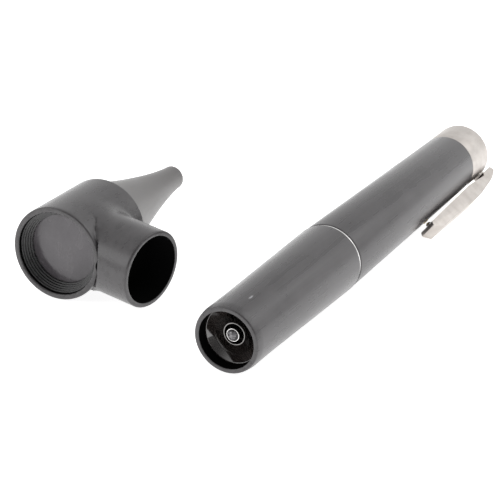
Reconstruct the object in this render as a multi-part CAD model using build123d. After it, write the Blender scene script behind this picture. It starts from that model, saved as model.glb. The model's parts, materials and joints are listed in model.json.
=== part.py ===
from build123d import *
import os
from math import asin, atan, atan2, cos, hypot, radians, sin

# Pocket otoscope taken apart: the viewing head lies beside its two-cell battery handle.
# All sizes are in millimetres. Z = 0 is the surface that both pieces lie on.

# ---- Clearances -------------------------------------------------------------------------
SLIDE_GAP = 0.05            # radial gap of parts that slide or turn in each other
LOOSE_GAP = 0.15            # radial gap round the cells and between stacked loose parts
STACK_GAP = 0.05            # gap along the axis between stacked parts

# ---- Cells ------------------------------------------------------------------------------
CELL_R = 7.25               # AA cell, largest allowed radius
CELL_LENGTH = 50.5          # AA cell, nub included
CELL_NUB_R = 2.6
CELL_NUB_LENGTH = 1.0

# ---- Handle, measured along its axis from the mouth -------------------------------------
MOUTH_LIP = 0.1             # how far the mouth's wall stands inside the cell bore
MOUTH_WALL = 1.2
MOUTH_CHAMFER = 0.3
SEAT_RISE = 0.25            # seat radius over the mouth's radius
SEAT_START = 2.0
SEAT_LENGTH = 9.0           # cylinder that the head's socket slides onto
FRONT_LENGTH = 53.4         # mouth to seam
FRONT_WALL = 1.15           # wall over the joint sleeve at the seam
SEAM_GAP = 0.6              # visible groove between the two sections
SEAM_DEPTH = 0.45           # depth of the groove down to the bright ring
SEAM_STEP = 0.12            # rear section's radius under the front section's
SEAM_CHAMFER = 0.25
CELL_TO_CAP = 5.65          # rear cell's end to the end of the black barrel
REAR_WALL = 0.53            # wall over the cap insulator
CAP_LENGTH = 11.7
CAP_WALL = 0.6
CAP_END_WALL = 1.6
CAP_ROUND = 1.0             # rounding of the cap's end
SLEEVE_WALL = 0.9
SLEEVE_GRIP = 8.0           # engagement of the joint sleeve on each side of the seam
SCREW_TRAVEL = 4.0          # axial travel of the front section on its thread
THREAD_PITCH = 1.0
THREAD_DEPTH = 0.25
INSULATOR_WALL = 0.4
INSULATOR_GRIP = 8.0        # length of the cap insulator inside the barrel
INSULATOR_LIP = 4.0         # length of the cap insulator inside the cap

# ---- Lamp and reflector -----------------------------------------------------------------
REFLECTOR_DEPTH = 3.2       # mouth to the reflector's front edge
REFLECTOR_EDGE = 0.25       # thickness of the reflector's front edge
REFLECTOR_CONE = 6.0        # length of the cone
REFLECTOR_LENGTH = 10.5
NOTCH_R = 0.6               # keyway notch in the cone
NOTCH_SHARE = 0.62          # place of the notch on the cone, as a share of both radii
NOTCH_LENGTH = 5.0
COLLAR_R = 2.9
COLLAR_WALL = 0.3
COLLAR_START = 4.0
COLLAR_FLANGE_R = 4.2
COLLAR_FLANGE = 0.8
BULB_START = 2.6            # lens tip of the lamp
BULB_SHELL_R = 1.7
BULB_SHELL_WALL = 0.22
BULB_GLASS_LENGTH = 7.0
BULB_DOME_SHARE = 0.5       # share of the glass radius that stands out of the shell
BULB_SHELL_LENGTH = 10.0    # lens tip to the end of the metal shell
BULB_BASE_FLANGE = 1.0
INSULATOR_THICKNESS = 0.9
SOLDER_R = 0.8
SOLDER_LENGTH = 0.7
FRONT_SPRING_ROOM = 4.8     # lamp's solder contact to the insulating disc
CARRIER_LENGTH = 4.9        # insulating disc behind the lamp
PLUNGER_R = 1.4
PLUNGER_SETBACK = 1.2       # plunger's front end inside the insulating disc
PLUNGER_HEAD_R = 2.6
PLUNGER_HEAD = 1.0
FRONT_SPRING_R = 1.0        # coil centre line
FRONT_SPRING_WIRE = 0.4
FRONT_SPRING_TURNS = 5

# ---- Tail -------------------------------------------------------------------------------
TAIL_SPRING_R = 4.6
TAIL_SPRING_WIRE = 0.9
TAIL_SPRING_TURNS = 5
TAIL_CONTACT_R = 6.2
TAIL_CONTACT_THICKNESS = 0.6

# ---- Pocket clip: r is the distance from the handle's axis ------------------------------
CLIP_ROLL = -38.0           # degrees round the handle axis, 0 is sideways, negative is down
CLIP_WIDTH = 5.2
CLIP_SHEET = 0.65
CLIP_LENGTH = 45.7          # forward end to the rearmost point of the arch
CLIP_BACK_SET = -1.4        # rearmost point of the arch, which stands out behind the cap's end
CLIP_BEND_SET = 3.0         # bend of the outer face over the cap, from the cap's end
CLIP_STEP_SET = 15.4        # back end of the side walls' straight edge, from the cap's end
CLIP_CORNER_SET = 14.8      # corner where the outer face starts to fall, from the cap's end
CLIP_NOSE = 2.3             # length of the angular tip
CLIP_NOSE_DROP = 2.1
CLIP_NOSE_CUT = 0.9         # cut-back lower corner of the tip
CLIP_HEIGHT = 3.84          # outer face over the rear section's largest radius
CLIP_BEND_DROP = 1.45       # outer face at the bend, under its straight stretch
CLIP_BACK_DROP = 3.1        # outer face at the arch's rearmost point
CLIP_WALL_LIFT = 0.62       # free edge of the side walls at the tip, over the rear section
CLIP_WALL_DROP = 1.05       # how far that edge comes down towards the arch
CLIP_ARCH_LIFT = 0.7        # underside of the arch over the edge's back end
CLIP_EDGE_ROUND = 0.25
CLIP_END_WALL = 0.9         # wall that closes the channel at the tip
CLIP_TONGUE_WIDTH = 2.6
CLIP_TONGUE_LENGTH = 2.4    # along the handle, inside the cap's slot
CLIP_TONGUE_DEPTH = 1.63    # how deep the tongue reaches into the cap
CLIP_NECK_START = 2.0       # outline's neck over the tongue's inner end, at the back
CLIP_NECK_END = 2.1         # the same at the front
CLIP_NECK_SET = 0.8         # neck's back end, from the arch's rearmost point
CLIP_SLOT_GAP = 0.3
CLIP_PIN_R = 0.6
CLIP_PIN_SET = 4.65         # pin in front of the arch's rearmost point
CLIP_PIN_LIFT = 0.75        # pin over the tongue's inner end
CLIP_PIN_GRIP = 0.8         # pin's length in the cap on each side of the tongue
BALL_R = 1.0
BALL_GAP = 0.35             # switch travel: ball to stud at rest
BALL_SETBACK = 2.6          # ball centre from the clip's forward end
BALL_SHANK_R = 0.45
BALL_SHANK_SET = 0.1        # shank's end under the clip's outer face
STUD_R = 0.9
STUD_DOME = 0.15

# ---- Head: z from the eyepiece rim along the line of sight ------------------------------
TUBE_RIM_R = 12.45
TUBE_TAPER = 0.35           # rear radius under the rim's
TUBE_LENGTH = 24.5
TUBE_CHAMFER = 0.35
TUBE_WALL = 1.1             # wall at the rear end
THROAT_STEP = 0.7           # narrower stretch between the two counterbores
SOCKET_CENTRE = 11.6        # where the socket's axis crosses the line of sight
SOCKET_LEAN = 11.8          # degrees from square, towards the eyepiece
SOCKET_WALL = 1.42
SOCKET_STANDOFF = 12.15     # from the tube's rim radius to the socket's rim
SOCKET_DEPTH = 9.0
SOCKET_CHAMFER = 0.3
LIGHT_HOLE_R = 3.2
LIGHT_HOLE_SHARE = 0.5      # the light hole starts at this share of the throat's radius
CROTCH_GAP = 0.5            # relief between the eyepiece rim and the socket
CROTCH_DEPTH = 1.4
LENS_DEPTH = 4.2            # rim to the lens
LENS_GAP = 0.1              # radial gap of the lens
LENS_EDGE = 1.2
LENS_BULGE = 0.9
RING_START = 1.0
RING_WIDTH = 1.8            # radial width of the lens ring
RING_LIP = 0.45             # width of the lens ring's front lip
RING_STEPS = 4
GASKET_THICKNESS = 0.6
GASKET_HOLLOW = 0.35        # share of the lens's bulge that the gasket follows
CARRIER_RING_THICKNESS = 1.0
CARRIER_RING_WIDTH = 1.6
MIRROR_WIDTH = 5.0
MIRROR_THICKNESS = 0.7
MIRROR_RISE = 4.2           # size of the wedge along the line of sight
MIRROR_RUN = 4.4            # size of the wedge across the line of sight
MIRROR_SET = 0.4            # wedge's outer edge from the carrier ring's inside
SPECULUM_STEP = 1.2         # tube's rear radius over the speculum's base
SPECULUM_LENGTH = 38.2      # tube's end to the tip
SPECULUM_TIP_R = 3.27
SPECULUM_FLARE = 1.41       # power of the flare's curve
SPECULUM_STATIONS = 8
SPECULUM_WALL = 0.85
SPECULUM_TIP_ROUND = 0.5
SPIGOT_LENGTH = 4.0
SEAT_RING_THICKNESS = 1.2
SEAT_RING_WIDTH = 2.2

# ---- How the two pieces lie -------------------------------------------------------------
HEAD_X = -58.9              # eyepiece rim centre from the mouth's centre
HEAD_Y = 18.05
HEAD_TURN = 2.03            # degrees, counter-clockwise from the handle's direction

# ---- Derived: the stack along the handle ------------------------------------------------
REFLECTOR_END = REFLECTOR_DEPTH + REFLECTOR_LENGTH
BULB_SHELL_END = BULB_START + BULB_SHELL_LENGTH
SOLDER_START = BULB_SHELL_END + INSULATOR_THICKNESS
BULB_END = SOLDER_START + SOLDER_LENGTH
CARRIER_START = BULB_END + FRONT_SPRING_ROOM
CARRIER_END = CARRIER_START + CARRIER_LENGTH
PLUNGER_START = CARRIER_START + PLUNGER_SETBACK
CELL_START = CARRIER_END + STACK_GAP
CELL_END = CELL_START + 2 * CELL_LENGTH
REAR_START = FRONT_LENGTH + SEAM_GAP
REAR_END = CELL_END + CELL_TO_CAP
CAP_END = REAR_END + CAP_LENGTH
CAP_FLOOR = CAP_END - CAP_END_WALL
INSULATOR_END = REAR_END + INSULATOR_LIP

# ---- Derived: radii of the handle -------------------------------------------------------
CELL_BORE_R = CELL_R + LOOSE_GAP
MOUTH_BORE_R = CELL_BORE_R - MOUTH_LIP
MOUTH_R = MOUTH_BORE_R + MOUTH_WALL
SEAT_R = MOUTH_R + SEAT_RISE
SLEEVE_OUTER_R = CELL_BORE_R + SLEEVE_WALL
SLEEVE_POCKET_R = SLEEVE_OUTER_R + SLIDE_GAP
FRONT_END_R = SLEEVE_POCKET_R + FRONT_WALL
SEAM_FLANGE_R = FRONT_END_R - SEAM_DEPTH
REAR_START_R = FRONT_END_R - SEAM_STEP
INSULATOR_R = CELL_BORE_R + INSULATOR_WALL
REAR_END_R = INSULATOR_R + REAR_WALL

# ---- Derived: the clip ------------------------------------------------------------------
CLIP_BACK = CAP_END - CLIP_BACK_SET
CLIP_TIP = CLIP_BACK - CLIP_LENGTH
CLIP_STEP = CAP_END - CLIP_STEP_SET
CLIP_CORNER = CAP_END - CLIP_CORNER_SET
CLIP_OUTER_R = REAR_START_R + CLIP_HEIGHT
CLIP_BEND = CAP_END - CLIP_BEND_SET
CLIP_WALL_R = REAR_START_R + CLIP_WALL_LIFT
CLIP_STEP_R = CLIP_WALL_R - CLIP_WALL_DROP
CLIP_TONGUE_R = REAR_END_R - CLIP_TONGUE_DEPTH
PIN_S = CLIP_BACK - CLIP_PIN_SET
PIN_R_PLACE = CLIP_TONGUE_R + CLIP_PIN_LIFT
BALL_S = CLIP_TIP + BALL_SETBACK

# ---- Derived: the head ------------------------------------------------------------------
TUBE_REAR_R = TUBE_RIM_R - TUBE_TAPER
TUBE_BORE_R = TUBE_REAR_R - TUBE_WALL
TUBE_FIT_R = TUBE_BORE_R - SLIDE_GAP
TUBE_THROAT_R = TUBE_BORE_R - THROAT_STEP
SOCKET_BORE_R = SEAT_R + SLIDE_GAP
SOCKET_R = SOCKET_BORE_R + SOCKET_WALL
SOCKET_REACH = TUBE_RIM_R + SOCKET_STANDOFF
SOCKET_FLOOR = SOCKET_REACH - SOCKET_DEPTH
LENS_R = TUBE_BORE_R - LENS_GAP
RING_INNER_R = TUBE_BORE_R - RING_WIDTH
GASKET_START = LENS_DEPTH + LENS_EDGE + STACK_GAP
GASKET_END = LENS_DEPTH + LENS_EDGE + LENS_BULGE + GASKET_THICKNESS
MIRROR_BASE = GASKET_END + CARRIER_RING_THICKNESS
CARRIER_RING_INNER_R = TUBE_BORE_R - CARRIER_RING_WIDTH
WEDGE_OUTER_X = CARRIER_RING_INNER_R - MIRROR_SET
WEDGE_INNER_X = WEDGE_OUTER_X - MIRROR_RUN
SPECULUM_BASE_R = TUBE_REAR_R - SPECULUM_STEP
SPIGOT_START = TUBE_LENGTH - SPIGOT_LENGTH
SEAT_RING_START = SPIGOT_START - SEAT_RING_THICKNESS
SEAT_RING_INNER_R = TUBE_BORE_R - SEAT_RING_WIDTH


def rear_radius(s):
    """Outer radius of the rear barrel at distance s from the mouth."""
    share = (s - REAR_START) / (REAR_END - REAR_START)
    return REAR_START_R + (REAR_END_R - REAR_START_R) * share


STUD_TOP_R = rear_radius(BALL_S) + STUD_DOME
BALL_CENTRE_R = STUD_TOP_R + BALL_GAP + BALL_R


def handle_tilt():
    """Angle at which the handle lies on its seam edge and on the clip's lowest corner."""
    down, across = sin(radians(-CLIP_ROLL)), cos(radians(CLIP_ROLL))
    slopes = [0.0]
    for r, s in ((CLIP_OUTER_R, CLIP_CORNER), (CLIP_OUTER_R, CLIP_TIP + CLIP_NOSE)):
        depth = r * down + CLIP_WIDTH / 2 * across
        slopes.append((depth - FRONT_END_R) / (s - FRONT_LENGTH))
    return atan(max(slopes))


def head_roll():
    """Angle at which the socket droops until its rim meets the surface."""
    lean = radians(SOCKET_LEAN)
    drop = asin(TUBE_RIM_R / hypot(SOCKET_REACH, SOCKET_R)) - atan2(SOCKET_R, SOCKET_REACH)
    return asin(sin(drop) / cos(lean))


# Handle frame: Z along the handle from the mouth, X towards the clip.
tilt = handle_tilt()
handle_axis = Vector(0, cos(tilt), sin(tilt))
handle_up = Vector(0, -sin(tilt), cos(tilt))
clip_side = Vector(1, 0, 0) * cos(radians(CLIP_ROLL)) + handle_up * sin(radians(CLIP_ROLL))
mouth_z = FRONT_END_R * cos(tilt) - FRONT_LENGTH * sin(tilt)
handle_place = Plane(origin=(0, 0, mouth_z), x_dir=clip_side, z_dir=handle_axis).location

# Head frame: Z along the line of sight from the rim, X towards the socket.
turn, roll = radians(HEAD_TURN), head_roll()
head_axis = Vector(-sin(turn), cos(turn), 0)
socket_side = Vector(cos(turn), sin(turn), 0) * cos(roll) - Vector(0, 0, 1) * sin(roll)
head_place = Plane(
    origin=(HEAD_X, HEAD_Y, TUBE_RIM_R), x_dir=socket_side, z_dir=head_axis
).location

parts = {}


def turned(points):
    """Solid of revolution about Z from (radius, height) points."""
    outline = Polyline(*[(r, 0, h) for r, h in points], close=True)
    return revolve(make_face(outline), Axis.Z, 360)


def tube(outer_r, inner_r, start, end):
    """Plain tube about Z."""
    return turned([(inner_r, start), (outer_r, start), (outer_r, end), (inner_r, end)])


def disc(radius, start, end):
    """Plain disc about Z."""
    return turned([(0, start), (radius, start), (radius, end), (0, end)])


def coil(radius, wire_r, start, end, turns):
    """Helical spring about Z whose wire stays between start and end."""
    low, high = start + wire_r, end - wire_r
    path = Helix(pitch=(high - low) / turns, height=high - low, radius=radius)
    section = Plane(origin=path @ 0, z_dir=path % 0) * Circle(wire_r)
    return Pos(0, 0, low) * sweep(section, path=path)


def keep_handle(name, shape):
    """File a shape that was made in the handle's own frame."""
    parts[name] = handle_place * shape


def keep_head(name, shape):
    """File a shape that was made in the head's own frame."""
    parts[name] = head_place * shape


# ---- Front section ----------------------------------------------------------------------
def front_barrel():
    seat_end = SEAT_START + SEAT_LENGTH
    pocket_start = FRONT_LENGTH - SLEEVE_GRIP
    return turned([
        (MOUTH_BORE_R, 0),
        (MOUTH_R - MOUTH_CHAMFER, 0),
        (MOUTH_R, MOUTH_CHAMFER),
        (SEAT_R, SEAT_START),
        (SEAT_R, seat_end),
        (FRONT_END_R, FRONT_LENGTH - SEAM_CHAMFER),
        (FRONT_END_R - SEAM_CHAMFER, FRONT_LENGTH),
        (SLEEVE_POCKET_R, FRONT_LENGTH),
        (SLEEVE_POCKET_R, pocket_start),
        (CELL_BORE_R, pocket_start),
        (CELL_BORE_R, REFLECTOR_END),
        (MOUTH_BORE_R, REFLECTOR_END),
    ])


def reflector():
    outer_r = MOUTH_BORE_R
    cone_end = REFLECTOR_DEPTH + REFLECTOR_CONE
    collar_hole = COLLAR_R + SLIDE_GAP
    flange_hole = COLLAR_FLANGE_R + SLIDE_GAP
    flange_start = REFLECTOR_END - COLLAR_FLANGE - STACK_GAP
    body = turned([
        (outer_r - REFLECTOR_EDGE, REFLECTOR_DEPTH),
        (outer_r, REFLECTOR_DEPTH),
        (outer_r, REFLECTOR_END),
        (flange_hole, REFLECTOR_END),
        (flange_hole, flange_start),
        (collar_hole, flange_start),
        (collar_hole, cone_end),
    ])
    notch_r = (outer_r + collar_hole) * NOTCH_SHARE
    notch = Pos(notch_r, 0, REFLECTOR_DEPTH + NOTCH_LENGTH / 2) * Cylinder(NOTCH_R, NOTCH_LENGTH)
    return body - notch


def bulb_collar():
    flange_start = REFLECTOR_END - COLLAR_FLANGE
    inner_r = COLLAR_R - COLLAR_WALL
    return turned([
        (inner_r, COLLAR_START),
        (COLLAR_R, COLLAR_START),
        (COLLAR_R, flange_start),
        (COLLAR_FLANGE_R, flange_start),
        (COLLAR_FLANGE_R, REFLECTOR_END),
        (inner_r, REFLECTOR_END),
    ])


def bulb_glass():
    glass_r = BULB_SHELL_R - BULB_SHELL_WALL
    barrel = disc(glass_r, BULB_START + glass_r, BULB_START + BULB_GLASS_LENGTH)
    dome = Pos(0, 0, BULB_START + glass_r) * Sphere(glass_r)
    return barrel + dome


def bulb_shell():
    inner_r = BULB_SHELL_R - BULB_SHELL_WALL
    base_r = COLLAR_R - COLLAR_WALL - SLIDE_GAP
    glass_end = BULB_START + BULB_GLASS_LENGTH
    flange_start = BULB_SHELL_END - BULB_BASE_FLANGE
    shell_start = BULB_START + inner_r * BULB_DOME_SHARE
    return turned([
        (inner_r, shell_start),
        (BULB_SHELL_R, shell_start),
        (BULB_SHELL_R, flange_start),
        (base_r, flange_start),
        (base_r, BULB_SHELL_END),
        (0, BULB_SHELL_END),
        (0, glass_end),
        (inner_r, glass_end),
    ])


def contact_carrier():
    hole = PLUNGER_R + SLIDE_GAP
    head_hole = PLUNGER_HEAD_R + SLIDE_GAP
    step = CARRIER_END - PLUNGER_HEAD - STACK_GAP
    return turned([
        (hole, CARRIER_START),
        (CELL_BORE_R, CARRIER_START),
        (CELL_BORE_R, CARRIER_END),
        (head_hole, CARRIER_END),
        (head_hole, step),
        (hole, step),
    ])


def front_contact():
    stem = disc(PLUNGER_R, PLUNGER_START, CARRIER_END)
    return stem + disc(PLUNGER_HEAD_R, CARRIER_END - PLUNGER_HEAD, CARRIER_END)


def joint_sleeve():
    start = FRONT_LENGTH - SLEEVE_GRIP + STACK_GAP
    end = REAR_START + SLEEVE_GRIP - STACK_GAP
    flange_low = FRONT_LENGTH + STACK_GAP
    flange_high = REAR_START - STACK_GAP
    body = tube(SLEEVE_OUTER_R, CELL_BORE_R, start, end)
    flange = tube(SEAM_FLANGE_R, CELL_BORE_R, flange_low, flange_high)
    sleeve = body + flange
    turns = int(SCREW_TRAVEL / THREAD_PITCH) + 1
    for index in range(turns):
        middle = REAR_START + THREAD_PITCH * (index + 1)
        sleeve -= turned([
            (SLEEVE_OUTER_R - THREAD_DEPTH, middle),
            (SLEEVE_OUTER_R + THREAD_DEPTH, middle - 2 * THREAD_DEPTH),
            (SLEEVE_OUTER_R + THREAD_DEPTH, middle + 2 * THREAD_DEPTH),
        ])
    return sleeve


keep_handle("front_barrel", front_barrel())
keep_handle("reflector", reflector())
keep_handle("bulb_collar", bulb_collar())
keep_handle("bulb_glass", bulb_glass())
keep_handle("bulb_shell", bulb_shell())
keep_handle("bulb_insulator", disc(BULB_SHELL_R, BULB_SHELL_END, SOLDER_START))
keep_handle("bulb_contact", disc(SOLDER_R, SOLDER_START, BULB_END))
keep_handle("contact_carrier", contact_carrier())
keep_handle("front_contact", front_contact())
keep_handle("front_spring", coil(
    FRONT_SPRING_R, FRONT_SPRING_WIRE / 2, BULB_END + STACK_GAP,
    PLUNGER_START - STACK_GAP, FRONT_SPRING_TURNS,
))
keep_handle("joint_sleeve", joint_sleeve())


# ---- Rear section -----------------------------------------------------------------------
def rear_barrel():
    insulator_start = REAR_END - INSULATOR_GRIP
    pocket_end = REAR_START + SLEEVE_GRIP
    body = turned([
        (SLEEVE_POCKET_R, REAR_START),
        (REAR_START_R - SEAM_CHAMFER, REAR_START),
        (REAR_START_R, REAR_START + SEAM_CHAMFER),
        (REAR_END_R, REAR_END),
        (INSULATOR_R, REAR_END),
        (INSULATOR_R, insulator_start),
        (CELL_BORE_R, insulator_start),
        (CELL_BORE_R, pocket_end),
        (SLEEVE_POCKET_R, pocket_end),
    ])
    return body - Pos(STUD_TOP_R, 0, BALL_S) * Rot(0, 90, 0) * Cylinder(STUD_R, STUD_TOP_R)


def contact_stud():
    blank = Pos(STUD_TOP_R / 2, 0, BALL_S) * Rot(0, 90, 0) * Cylinder(STUD_R, STUD_TOP_R)
    return blank - disc(CELL_BORE_R, BALL_S - 2 * STUD_R, BALL_S + 2 * STUD_R)


def cell(start):
    nub = disc(CELL_NUB_R, start, start + CELL_NUB_LENGTH)
    return nub + disc(CELL_R, start + CELL_NUB_LENGTH, start + CELL_LENGTH - STACK_GAP)


def clip_slot(gap):
    """Block that the clip's tongue fills, or that the slot round it clears."""
    return Pos((CLIP_TONGUE_R + CLIP_OUTER_R) / 2, 0, PIN_S) * Box(
        CLIP_OUTER_R - CLIP_TONGUE_R + 2 * gap,
        CLIP_TONGUE_WIDTH + 2 * gap,
        CLIP_TONGUE_LENGTH + 2 * gap,
    )


def clip_pin(radius):
    """Pin that the clip rocks on, or the hole for it."""
    length = CLIP_TONGUE_WIDTH + 2 * CLIP_PIN_GRIP
    return Pos(PIN_R_PLACE, 0, PIN_S) * Rot(90, 0, 0) * Cylinder(radius, length)


def tail_cap():
    cavity_r = INSULATOR_R - CAP_WALL
    blank = disc(REAR_END_R, REAR_END, CAP_END)
    blank = fillet(blank.edges().group_by(Axis.Z)[-1], CAP_ROUND)
    cavity = disc(INSULATOR_R, REAR_END, INSULATOR_END) + disc(cavity_r, REAR_END, CAP_FLOOR)
    slot = clip_slot(CLIP_SLOT_GAP)
    return blank - cavity - slot - clip_pin(CLIP_PIN_R)


def pocket_clip():
    neck = PIN_S - CLIP_TONGUE_LENGTH / 2
    back_r = CLIP_OUTER_R - CLIP_BACK_DROP
    bend_r = CLIP_OUTER_R - CLIP_BEND_DROP
    outline = FilletPolyline(
        (CLIP_TONGUE_R + CLIP_NECK_START, 0, CLIP_BACK - CLIP_NECK_SET),
        (back_r, 0, CLIP_BACK),
        (bend_r, 0, CLIP_BEND),
        (CLIP_OUTER_R, 0, CLIP_CORNER),
        (CLIP_OUTER_R, 0, CLIP_TIP + CLIP_NOSE),
        (CLIP_OUTER_R - CLIP_NOSE_DROP, 0, CLIP_TIP),
        (CLIP_WALL_R, 0, CLIP_TIP + CLIP_NOSE_CUT),
        (CLIP_STEP_R, 0, CLIP_STEP),
        (CLIP_STEP_R + CLIP_ARCH_LIFT, 0, neck - CLIP_NECK_SET),
        (CLIP_TONGUE_R + CLIP_NECK_END, 0, neck),
        radius=CLIP_EDGE_ROUND, close=True,
    )
    blank = extrude(make_face(outline), amount=CLIP_WIDTH / 2, both=True)
    tongue = clip_slot(0) & disc(back_r, CLIP_STEP, CLIP_BACK)
    trough_start = CLIP_TIP + CLIP_END_WALL
    trough_end = neck - CLIP_SHEET
    trough_fall = CLIP_BEND_DROP * (trough_end - CLIP_CORNER) / (CLIP_BEND - CLIP_CORNER)
    channel = Polyline(
        (0, 0, trough_start),
        (CLIP_OUTER_R - CLIP_NOSE_DROP, 0, trough_start),
        (CLIP_OUTER_R - CLIP_SHEET, 0, CLIP_TIP + CLIP_NOSE + CLIP_SHEET),
        (CLIP_OUTER_R - CLIP_SHEET, 0, CLIP_CORNER),
        (CLIP_OUTER_R - CLIP_SHEET - trough_fall, 0, trough_end),
        (0, 0, trough_end),
        close=True,
    )
    trough = extrude(make_face(channel), amount=CLIP_WIDTH / 2 - CLIP_SHEET, both=True)
    shank_hole = Pos(CLIP_OUTER_R, 0, BALL_S) * Rot(0, 90, 0) * Cylinder(BALL_SHANK_R, CLIP_OUTER_R)
    seat = Pos(BALL_CENTRE_R, 0, BALL_S) * Sphere(BALL_R + SLIDE_GAP)
    return blank - trough + tongue - shank_hole - seat - clip_pin(CLIP_PIN_R + SLIDE_GAP)


def clip_ball():
    ball = Pos(BALL_CENTRE_R, 0, BALL_S) * Sphere(BALL_R)
    shank_top = CLIP_OUTER_R - BALL_SHANK_SET
    shank = Pos((BALL_CENTRE_R + shank_top) / 2, 0, BALL_S) * Rot(0, 90, 0) * Cylinder(
        BALL_SHANK_R, shank_top - BALL_CENTRE_R
    )
    return ball + shank


keep_handle("rear_barrel", rear_barrel())
keep_handle("contact_stud", contact_stud())
keep_handle("battery_front", cell(CELL_START))
keep_handle("battery_rear", cell(CELL_START + CELL_LENGTH))
keep_handle("cap_insulator", tube(
    INSULATOR_R, CELL_BORE_R, REAR_END - INSULATOR_GRIP, INSULATOR_END
))
keep_handle("tail_cap", tail_cap())
keep_handle("tail_contact", disc(
    TAIL_CONTACT_R, CAP_FLOOR - TAIL_CONTACT_THICKNESS, CAP_FLOOR
))
keep_handle("tail_spring", coil(
    TAIL_SPRING_R, TAIL_SPRING_WIRE / 2, CELL_END + STACK_GAP,
    CAP_FLOOR - TAIL_CONTACT_THICKNESS - STACK_GAP, TAIL_SPRING_TURNS,
))
keep_handle("clip_pin", clip_pin(CLIP_PIN_R))
keep_handle("pocket_clip", pocket_clip())
keep_handle("clip_ball", clip_ball())


# ---- Head -------------------------------------------------------------------------------
socket_frame = Location((0, 0, SOCKET_CENTRE), (0, 90 + SOCKET_LEAN, 0))


def head_shell():
    body = turned([
        (0, 0),
        (TUBE_RIM_R - TUBE_CHAMFER, 0),
        (TUBE_RIM_R, TUBE_CHAMFER),
        (TUBE_REAR_R, TUBE_LENGTH - TUBE_CHAMFER),
        (TUBE_REAR_R - TUBE_CHAMFER, TUBE_LENGTH),
        (0, TUBE_LENGTH),
    ])
    socket = socket_frame * turned([
        (0, 0),
        (SOCKET_R, 0),
        (SOCKET_R, SOCKET_REACH - SOCKET_CHAMFER),
        (SOCKET_R - SOCKET_CHAMFER, SOCKET_REACH),
        (0, SOCKET_REACH),
    ])
    relief = disc(TUBE_RIM_R + CROTCH_GAP, -SOCKET_R, CROTCH_DEPTH)
    light_start = TUBE_THROAT_R * LIGHT_HOLE_SHARE
    bore = socket_frame * turned([
        (0, light_start),
        (LIGHT_HOLE_R, light_start),
        (LIGHT_HOLE_R, SOCKET_FLOOR),
        (SOCKET_BORE_R, SOCKET_FLOOR),
        (SOCKET_BORE_R, SOCKET_REACH - SOCKET_CHAMFER),
        (SOCKET_BORE_R + SOCKET_CHAMFER, SOCKET_REACH),
        (0, SOCKET_REACH),
    ])
    eye_bore = disc(TUBE_BORE_R, 0, MIRROR_BASE)
    throat = disc(TUBE_THROAT_R, 0, TUBE_LENGTH)
    rear_bore = disc(TUBE_BORE_R, SEAT_RING_START, TUBE_LENGTH)
    return body + (socket - relief) - eye_bore - throat - rear_bore - bore


def lens():
    top = LENS_DEPTH + LENS_EDGE + LENS_BULGE
    sphere_r = (LENS_R ** 2 + LENS_BULGE ** 2) / (2 * LENS_BULGE)
    blank = disc(LENS_R, LENS_DEPTH, top)
    ball = Pos(0, 0, top - sphere_r) * Sphere(sphere_r)
    return blank & ball


def lens_ring():
    lip_r = TUBE_FIT_R - RING_LIP
    step_depth = (LENS_DEPTH - STACK_GAP - RING_START) / RING_STEPS
    step_width = (lip_r - RING_INNER_R) / (RING_STEPS - 1)
    points = [(TUBE_FIT_R, LENS_DEPTH - STACK_GAP), (TUBE_FIT_R, RING_START)]
    for index in range(RING_STEPS):
        radius = lip_r - step_width * index
        points.append((radius, RING_START + step_depth * index))
        points.append((radius, RING_START + step_depth * (index + 1)))
    return turned(points)


def lens_gasket():
    return turned([
        (TUBE_FIT_R, GASKET_START),
        (TUBE_FIT_R, GASKET_END),
        (CARRIER_RING_INNER_R, GASKET_END),
        (CARRIER_RING_INNER_R, GASKET_START + LENS_BULGE * GASKET_HOLLOW),
        (LENS_R, GASKET_START),
    ])


def mirror_carrier():
    ring = tube(TUBE_FIT_R, CARRIER_RING_INNER_R, GASKET_END, MIRROR_BASE)
    foot_end = (CARRIER_RING_INNER_R + TUBE_BORE_R) / 2
    foot = Pos((WEDGE_INNER_X + foot_end) / 2, 0, (GASKET_END + MIRROR_BASE) / 2) * Box(
        foot_end - WEDGE_INNER_X, MIRROR_WIDTH, CARRIER_RING_THICKNESS
    )
    wedge_side = Polyline(
        (WEDGE_INNER_X, 0, MIRROR_BASE),
        (WEDGE_OUTER_X, 0, MIRROR_BASE),
        (WEDGE_INNER_X, 0, MIRROR_BASE + MIRROR_RISE),
        close=True,
    )
    return ring + foot + extrude(make_face(wedge_side), amount=MIRROR_WIDTH / 2, both=True)


def deflector_mirror():
    face = hypot(MIRROR_RUN, MIRROR_RISE)
    grow_x = MIRROR_THICKNESS * MIRROR_RISE / face
    grow_z = MIRROR_THICKNESS * MIRROR_RUN / face
    outline = Polyline(
        (WEDGE_OUTER_X, 0, MIRROR_BASE),
        (WEDGE_INNER_X, 0, MIRROR_BASE + MIRROR_RISE),
        (WEDGE_INNER_X + grow_x, 0, MIRROR_BASE + MIRROR_RISE + grow_z),
        (WEDGE_OUTER_X + grow_x, 0, MIRROR_BASE + grow_z),
        close=True,
    )
    return extrude(make_face(outline), amount=MIRROR_WIDTH / 2, both=True)


def flare_radius(share, inset):
    """Radius of the speculum's flare at a share of its length, less an inset."""
    spread = (SPECULUM_BASE_R - SPECULUM_TIP_R) * (1 - share) ** SPECULUM_FLARE
    return SPECULUM_TIP_R + spread - inset


def flare_curve(stations, inset):
    """Points of the flare at the given stations, for a spline."""
    return [
        (flare_radius(i / SPECULUM_STATIONS, inset), 0, TUBE_LENGTH + SPECULUM_LENGTH * i / SPECULUM_STATIONS)
        for i in stations
    ]


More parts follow.
